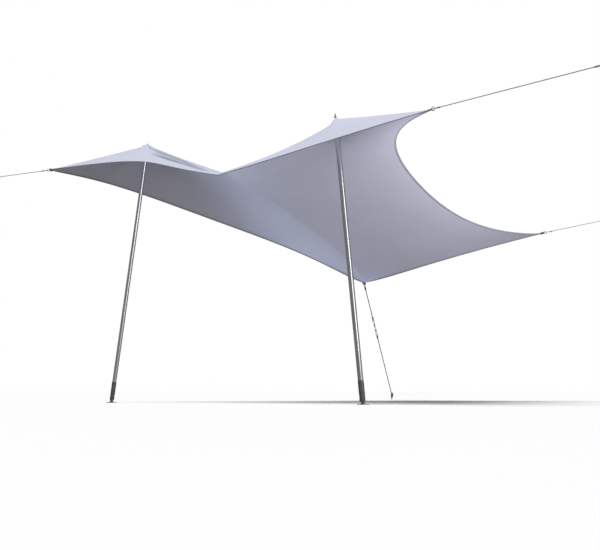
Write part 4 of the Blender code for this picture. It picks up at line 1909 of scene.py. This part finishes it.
@dataclass
class GroundStake:
    """The leaning stake of the low guy, and the rope's turns round it."""

    lay: RopeLay
    foot: tuple[float, float, float] = (-1.90, 6.06, 0.0)
    lean: float = 25.0
    radius: float = 0.0138
    head: float = 0.0238
    head_height: float = 0.020
    length: float = 0.150
    tie: float = 0.080
    rope: float = 0.0062
    turns: float = 3.0
    buried: float = 0.0075

    def build(self, corner: tuple[float, float, float]) -> None:
        """Makes the stake, which leans away from the corner that it holds.

        Args:
            corner: The corner of the sheet that it holds.
        """
        away = np.array(self.foot) - np.array(corner)
        away[2] = 0.0
        lean = math.radians(self.lean)
        axis = unit(away) * math.sin(lean) + np.array((0.0, 0.0, math.cos(lean)))
        piece = Piece("stake", ZincFitting())
        neck = self.length - 1.5 * self.head_height
        corners = [
            (0.0, self.buried),
            (self.radius, self.buried),
            (self.radius, neck),
            (self.head, self.length - self.head_height),
            (self.head, self.length),
            (0.0, self.length),
        ]
        points_up = rounded(corners, 0.003)
        piece.add_turned(points_up, self.foot, axis, 40)
        piece.finished(["ground_stake"])
        self.add_turns(axis)

    def add_turns(self, axis: np.ndarray) -> None:
        """Winds the rope's end round the stake above the ground.

        Args:
            axis: The stake's direction.
        """
        piece = Piece("stake_hitch", DARK_ROPE)
        x, y, z = axes_along(axis, (1.0, 0.0, 0.0))
        at = self.tie / axis[2] - self.turns * self.rope * 1.05
        turn = np.linspace(0.0, 2 * math.pi * self.turns, int(28 * self.turns))
        out = self.radius + self.rope + 0.0005
        rise = at + turn / (2 * math.pi) * self.rope * 2.1
        line = np.array(self.foot) + rise[:, None] * z
        line = line + out * (np.cos(turn)[:, None] * x + np.sin(turn)[:, None] * y)
        strand = self.rope * 0.5
        sizes = {
            "Strands": 3,
            "Strand_Radius": strand,
            "Middle_Radius": self.rope - strand,
            "Lay": self.rope * 7.0,
            "Step": self.rope * 0.9,
        }
        piece.add_mesh(self.lay.mesh(line, DARK_ROPE, **sizes))
        piece.finished(sharp=70.0)


@dataclass
class Mast:
    """One leaning mast: base plate with a ball, rubber shoe, drawn tube and ball head."""

    side: str
    foot: tuple[float, float, float]
    peak: tuple[float, float, float]
    radius: float
    wall: float = 0.003
    plate_radius: float = 0.080
    plate: float = 0.008
    ball: float = 0.030
    ball_height: float = 0.012
    shoe_wall: float = 0.003
    shoe_height: float = 0.28
    head_radius: float = 0.050
    pin: float = 0.008
    eyelet: float = 0.021

    def __post_init__(self) -> None:
        """Works out the mast's axis and the heights along it from its solids."""
        self.axis = unit(np.array(self.peak) - np.array(self.foot))
        self.tube_from, self.tube_to = self.heights("tube")
        self.shoe_from = self.heights("shoe")[0]
        self.top = self.heights("head")[1]
        head = solid_points(f"mast_{self.side}_head") - np.array(self.foot)
        height = head @ self.axis
        off = np.linalg.norm(head - height[:, None] * self.axis, axis=1)
        widest = height[off > off.max() - 2e-4]
        self.head_at = float((widest.max() + widest.min()) / 2)

    def heights(self, part: str) -> tuple[float, float]:
        """How far along the axis a part's solid starts and ends.

        Args:
            part: The part's name, without the mast's.

        Returns:
            The two distances from the foot.
        """
        points = solid_points(f"mast_{self.side}_{part}") - np.array(self.foot)
        reach = points @ self.axis
        return float(reach.min()), float(reach.max())

    def head_ball(self) -> Ball:
        """The ball that the sheet lies on."""
        centre = np.array(self.foot) + self.axis * self.head_at
        return Ball(tuple(centre), self.head_radius)

    def build(self) -> None:
        """Makes the mast's four parts."""
        self.build_plate()
        self.build_shoe()
        self.build_tube()
        self.build_head()

    def build_plate(self) -> None:
        """The round base plate, and the ball on it with the bead of its weld."""
        start = math.degrees(math.asin((self.plate + 0.004 - self.ball_height) / self.ball))
        rim = self.plate_radius
        plate = rounded([(0.0, 0.0), (rim, 0.0), (rim, self.plate), (0.036, self.plate)], 0.0015)
        bead = arc((0.0325, self.plate), 0.0035, 0.0, 120.0, 6)
        ball = arc((0.0, self.ball_height), self.ball, start, 90.0, 18)
        ball[-1] = (0.0, self.ball_height + self.ball)
        piece = Piece(f"{self.side}_base_plate", ZincFitting())
        piece.add_turned(plate + bead + ball, self.foot, (0.0, 0.0, 1.0), 64)
        piece.finished([f"mast_{self.side}_base_plate"])

    def build_shoe(self) -> None:
        """The rubber shoe, with ribs to grip it by and a thicker rim."""
        outer = self.radius + self.shoe_wall
        low, high = self.shoe_from, self.shoe_from + self.shoe_height
        corners = [(0.0, low), (outer - 0.003, low), (outer, low + 0.004), (outer, low + 0.030)]
        for k in range(5):
            at = low + 0.034 + 0.012 * k
            corners += [(outer - 0.0022, at), (outer - 0.0022, at + 0.004), (outer, at + 0.006)]
        corners += [
            (outer, high - 0.020),
            (outer - 0.002, high - 0.018),
            (outer - 0.002, high - 0.012),
            (outer, high - 0.010),
            (outer, high - 0.001),
            (outer - 0.002, high),
            (self.radius + 0.0003, high),
            (self.radius + 0.0003, low + 0.0124),
            (0.0, low + 0.0124),
        ]
        piece = Piece(f"{self.side}_shoe", Rubber())
        piece.add_turned(rounded(corners, 0.0009, 2), self.foot, self.axis, 64)
        piece.finished([f"mast_{self.side}_shoe"])

    def build_tube(self) -> None:
        """The drawn tube, with rolled rims."""
        inner = self.radius - self.wall
        corners = [
            (inner, self.tube_from),
            (self.radius, self.tube_from),
            (self.radius, self.tube_to),
            (inner, self.tube_to),
            (inner, self.tube_from),
        ]
        outside = rounded(corners[:4], 0.0012)
        middle = np.linspace(self.tube_from + 0.02, self.tube_to - 0.02, 24)
        cut = len(outside) // 2
        line = outside[:cut] + [(self.radius, at) for at in middle] + outside[cut:]
        piece = Piece(f"{self.side}_tube", DrawnSteel())
        piece.add_turned(line + [corners[4]], self.foot, self.axis, 72)
        piece.finished([f"mast_{self.side}_tube"])

    def build_head(self) -> None:
        """The head: a spigot and flange of steel, a rubber ball, and the pin with its eyelet."""
        radius = self.head_radius
        bore = self.radius - self.wall - 0.0003
        flange = self.tube_to + 0.0003
        name = f"mast_{self.side}_head"
        piece = Piece(f"{self.side}_head", Rubber())
        ball = arc((0.0, self.head_at), radius, -44.0, 81.0, 24)
        neck = rounded([(0.0, flange), (0.040, flange), (0.040, flange + 0.006), ball[0]], 0.0015)
        piece.add_turned(neck + ball[1:] + [(0.0, ball[-1][1])], self.foot, self.axis, 56)
        low = flange - 0.12
        plug = [(0.0, low), (bore - 0.003, low), (bore, low + 0.003), (bore, flange), (0.0, flange)]
        piece.add_turned(plug, self.foot, self.axis, 40, ZincFitting())
        tip = arc((self.pin - 0.005, self.top - 0.005), 0.005, 0.0, 90.0, 5)
        pin = [(0.0, self.head_at), (self.pin, self.head_at)] + tip + [(0.0, self.top)]
        piece.add_turned(pin, self.foot, self.axis, 24, ZincFitting())
        reach = float(np.linalg.norm(np.array(self.peak) - np.array(self.foot)))
        inner, outer = self.pin + 0.0006, self.eyelet
        ring = [
            (inner, reach - 0.002),
            (outer, reach - 0.002),
            (outer, reach + 0.0035),
            (inner, reach + 0.0035),
            (inner, reach - 0.002),
        ]
        piece.add_turned(ring, self.foot, self.axis, 32, ZincFitting())
        piece.finished([name])


WHITE: Colour = (1.0, 1.0, 1.0)


class Lit(Enum):
    """The pieces that a lamp lights."""

    CLOTH = "cloth"
    STEEL = "steel"
    LEFT_MAST = "left mast"


@dataclass(frozen=True)
class Lamp:
    """One soft lamp, wide and tall."""

    name: str
    lit: Lit
    spot: tuple[float, float, float]
    size: tuple[float, float]
    power: float
    colour: Colour
    shadows: bool = True


@dataclass
class Studio:
    """The pale floor, the soft light and the camera at the photograph's viewing angle."""

    eye: tuple[float, float, float] = (3.836, -9.003, 0.18)
    heading: float = 28.0
    pitch: float = 9.152
    lens: float = 43.2
    floor_side: float = 400.0
    backdrop: float = 1.0
    dome: Colour = (0.25, 0.24, 0.24)
    sun_power: float = 3.15
    sun_angle: float = 35.0
    sun_tilt: tuple[float, float] = (24.0, -18.0)
    lamps: Sequence[Lamp] = (
        Lamp("key", Lit.CLOTH, (-1.0, -8.0, 13.7), (9.0, 9.0), 2000.0, (0.94, 0.99, 1.08)),
        Lamp("cloth_left", Lit.CLOTH, (-5.0, 4.5, 0.4), (2.0, 2.0), 140.0, (0.80, 0.92, 1.28)),
        Lamp("cloth_lee", Lit.CLOTH, (2.8, 0.6, 1.5), (2.0, 2.0), 100.0, (0.96, 0.97, 1.08)),
        Lamp("mast_streak", Lit.STEEL, (7.5, -3.5, 3.6), (2.4, 8.0), 330.0, WHITE),
        Lamp("mast_top", Lit.LEFT_MAST, (5.9, -6.3, 6.6), (1.6, 4.0), 330.0, WHITE, False),
    )

    def build(self) -> None:
        """Makes floor, light and camera."""
        bpy.context.scene.view_settings.view_transform = "Standard"
        pieces = [made for made in bpy.data.objects if made.type == "MESH"]
        cloth = [made for made in pieces if made.name == "canopy" or made.name.startswith("hem")]
        steel = [made for made in pieces if made not in cloth]
        groups = {
            Lit.CLOTH: self.group("tent_cloth", cloth),
            Lit.STEEL: self.group("tent_steel", steel),
            Lit.LEFT_MAST: self.group("left_mast", [m for m in steel if m.name == "left_tube"]),
        }
        self.build_sun(self.group("floor", [self.build_floor()]))
        self.build_sky()
        for lamp in self.lamps:
            self.add_lamp(lamp, groups[lamp.lit])
        self.build_camera()

    def group(self, name: str, members: Sequence[bpy.types.Object]) -> bpy.types.Collection:
        """A collection of the pieces that a lamp lights.

        Args:
            name: The name of the collection.
            members: The pieces in it.

        Returns:
            The collection.
        """
        made = bpy.data.collections.new(name)
        for member in members:
            made.objects.link(member)
        return made

    def build_floor(self) -> bpy.types.Object:
        """A wide floor that meets the backdrop far away and throws no light back.

        Returns:
            The floor.
        """
        bm = bmesh.new()
        bmesh.ops.create_grid(bm, x_segments=1, y_segments=1, size=self.floor_side / 2)
        mesh = bpy.data.meshes.new("studio_floor")
        bm.to_mesh(mesh)
        bm.free()
        mesh.materials.append(StudioFloor().material())
        floor = bpy.data.objects.new("studio_floor", mesh)
        floor.visible_diffuse = False
        floor.visible_glossy = False
        floor.visible_shadow = False
        bpy.context.scene.collection.objects.link(floor)
        return floor

    def build_sun(self, lit: bpy.types.Collection) -> None:
        """A broad sun that lights the floor alone, where it draws the tent's soft shadow.

        Args:
            lit: The collection that holds the floor.
        """
        data = bpy.data.lights.new("floor_sun", "SUN")
        data.energy = self.sun_power
        data.angle = math.radians(self.sun_angle)
        holder = bpy.data.objects.new("floor_sun", data)
        holder.rotation_euler = (*(math.radians(tilt) for tilt in self.sun_tilt), 0.0)
        holder.light_linking.receiver_collection = lit
        bpy.context.scene.collection.objects.link(holder)

    def build_sky(self) -> None:
        """A plain white backdrop, and even light from all sides."""
        world = bpy.data.worlds.new("studio_sky")
        world.use_nodes = True
        sky = Graph(world.node_tree)
        plain = (self.backdrop,) * 3
        seen = sky.out(sky.node("ShaderNodeLightPath"), "Is Camera Ray")
        shade = world.node_tree.nodes["Background"]
        world.node_tree.links.new(sky.mixed(seen, self.dome, plain).socket, shade.inputs["Color"])
        bpy.context.scene.world = world

    def add_lamp(self, lamp: Lamp, lit: bpy.types.Collection) -> None:
        """A lamp that faces the tent's middle and lights only the pieces in a collection.

        Args:
            lamp: The lamp.
            lit: The collection that it lights.
        """
        data = bpy.data.lights.new(lamp.name, "AREA")
        data.shape = "RECTANGLE"
        data.size, data.size_y = lamp.size
        data.use_shadow = lamp.shadows
        data.energy = lamp.power
        data.color = lamp.colour
        holder = bpy.data.objects.new(lamp.name, data)
        holder.location = lamp.spot
        aim = Vector((-1.5, 1.0, 3.0)) - Vector(lamp.spot)
        holder.rotation_euler = aim.to_track_quat("-Z", "Y").to_euler()
        holder.visible_camera = False
        holder.light_linking.receiver_collection = lit
        bpy.context.scene.collection.objects.link(holder)

    def build_camera(self) -> None:
        """The camera, level with the grass line of the photograph and tilted up."""
        data = bpy.data.cameras.new("camera")
        data.lens = self.lens
        data.sensor_width = 36.0
        data.clip_end = 1000.0
        camera = bpy.data.objects.new("camera", data)
        camera.location = self.eye
        camera.rotation_euler = (
            math.radians(90.0 + self.pitch),
            0.0,
            math.radians(self.heading),
        )
        bpy.context.scene.collection.objects.link(camera)
        bpy.context.scene.camera = camera


@dataclass
class StretchTent:
    """The whole tent, built in the order in which it is put up."""

    shape: SheetShape = field(default_factory=SheetShape)
    mast_radii: tuple[float, float] = (0.0315, 0.038)
    feet: tuple = ((-4.11, -0.32, 0.0), (0.0, 0.0, 0.0))
    bar: float = 0.004

    def build(self) -> None:
        """Makes every piece."""
        masts = [
            Mast(side, foot, peak, radius)
            for side, foot, peak, radius in zip(
                ("left", "right"), self.feet, self.shape.peaks, self.mast_radii
            )
        ]
        for mast in masts:
            mast.build()
        canopy = Canopy(self.shape, [mast.head_ball() for mast in masts])
        hems = self.build_hems(canopy)
        canopy.build(hems)
        self.build_guys()

    def build_hems(self, canopy: Canopy) -> list[bpy.types.Object]:
        """Makes the four hems along the sheet's free edges.

        Args:
            canopy: The sheet that they edge.

        Returns:
            The finished hems.
        """
        net = canopy.net
        stitches = StitchRow()
        left = self.shape.left_cells * self.shape.fine_steps
        ridge = canopy.front_split * self.shape.ridge_cell * self.shape.fine_steps
        edges = {
            "hem_front": (net[:, 0], net[:, 2]),
            "hem_rear_left": (net[: left + 1, -1], net[: left + 1, -2]),
            "hem_rear_right": (net[left:, -1], net[left:, -2]),
            "hem_right": (net[-1, ridge:], net[-2, ridge:]),
        }
        made = []
        for name, (edge, inner) in edges.items():
            # The front edge gets the darkest painted shade under its hem.
            tape = PaintedShadeTape() if name == "hem_front" else SIDE_SHADE_TAPE
            made.append(Hem(name, edge, inner, stitches, tape).build())
        return made

    def build_guys(self) -> None:
        """Makes corners, guys, turnbuckle and stake."""
        lay = RopeLay()
        for corner in ("front_left", "front_right", "rear_right"):
            rope = f"guy_{corner}_rope"
            CornerClamp(corner).build()
            link = solid_points(f"guy_{corner}_link").mean(axis=0)
            Guy(rope, lay, self.bar, self.bar).build(link)
            ends = bar_ends(rope)
            first, last = sorted(ends, key=lambda end: -np.linalg.norm(end - link))
            EndLink(f"guy_{corner}_link").build(unit(last - first))
        CornerClamp("rear_low").build()
        stake = GroundStake(lay)
        foot = np.array(stake.foot)
        Guy("guy_rear_low_upper_rope", lay, self.bar, self.bar, 0.009, DARK_ROPE).build(foot)
        Guy("guy_rear_low_lower_rope", lay, self.bar, None, 0.009, DARK_ROPE).build(foot)
        Turnbuckle().build()
        stake.build(self.shape.rear_low)


def main() -> None:
    """Builds the tent and its studio."""
    logging.basicConfig(level=logging.INFO, format="%(message)s")
    StretchTent().build()
    Studio().build()


if __name__ == "__main__":
    main()
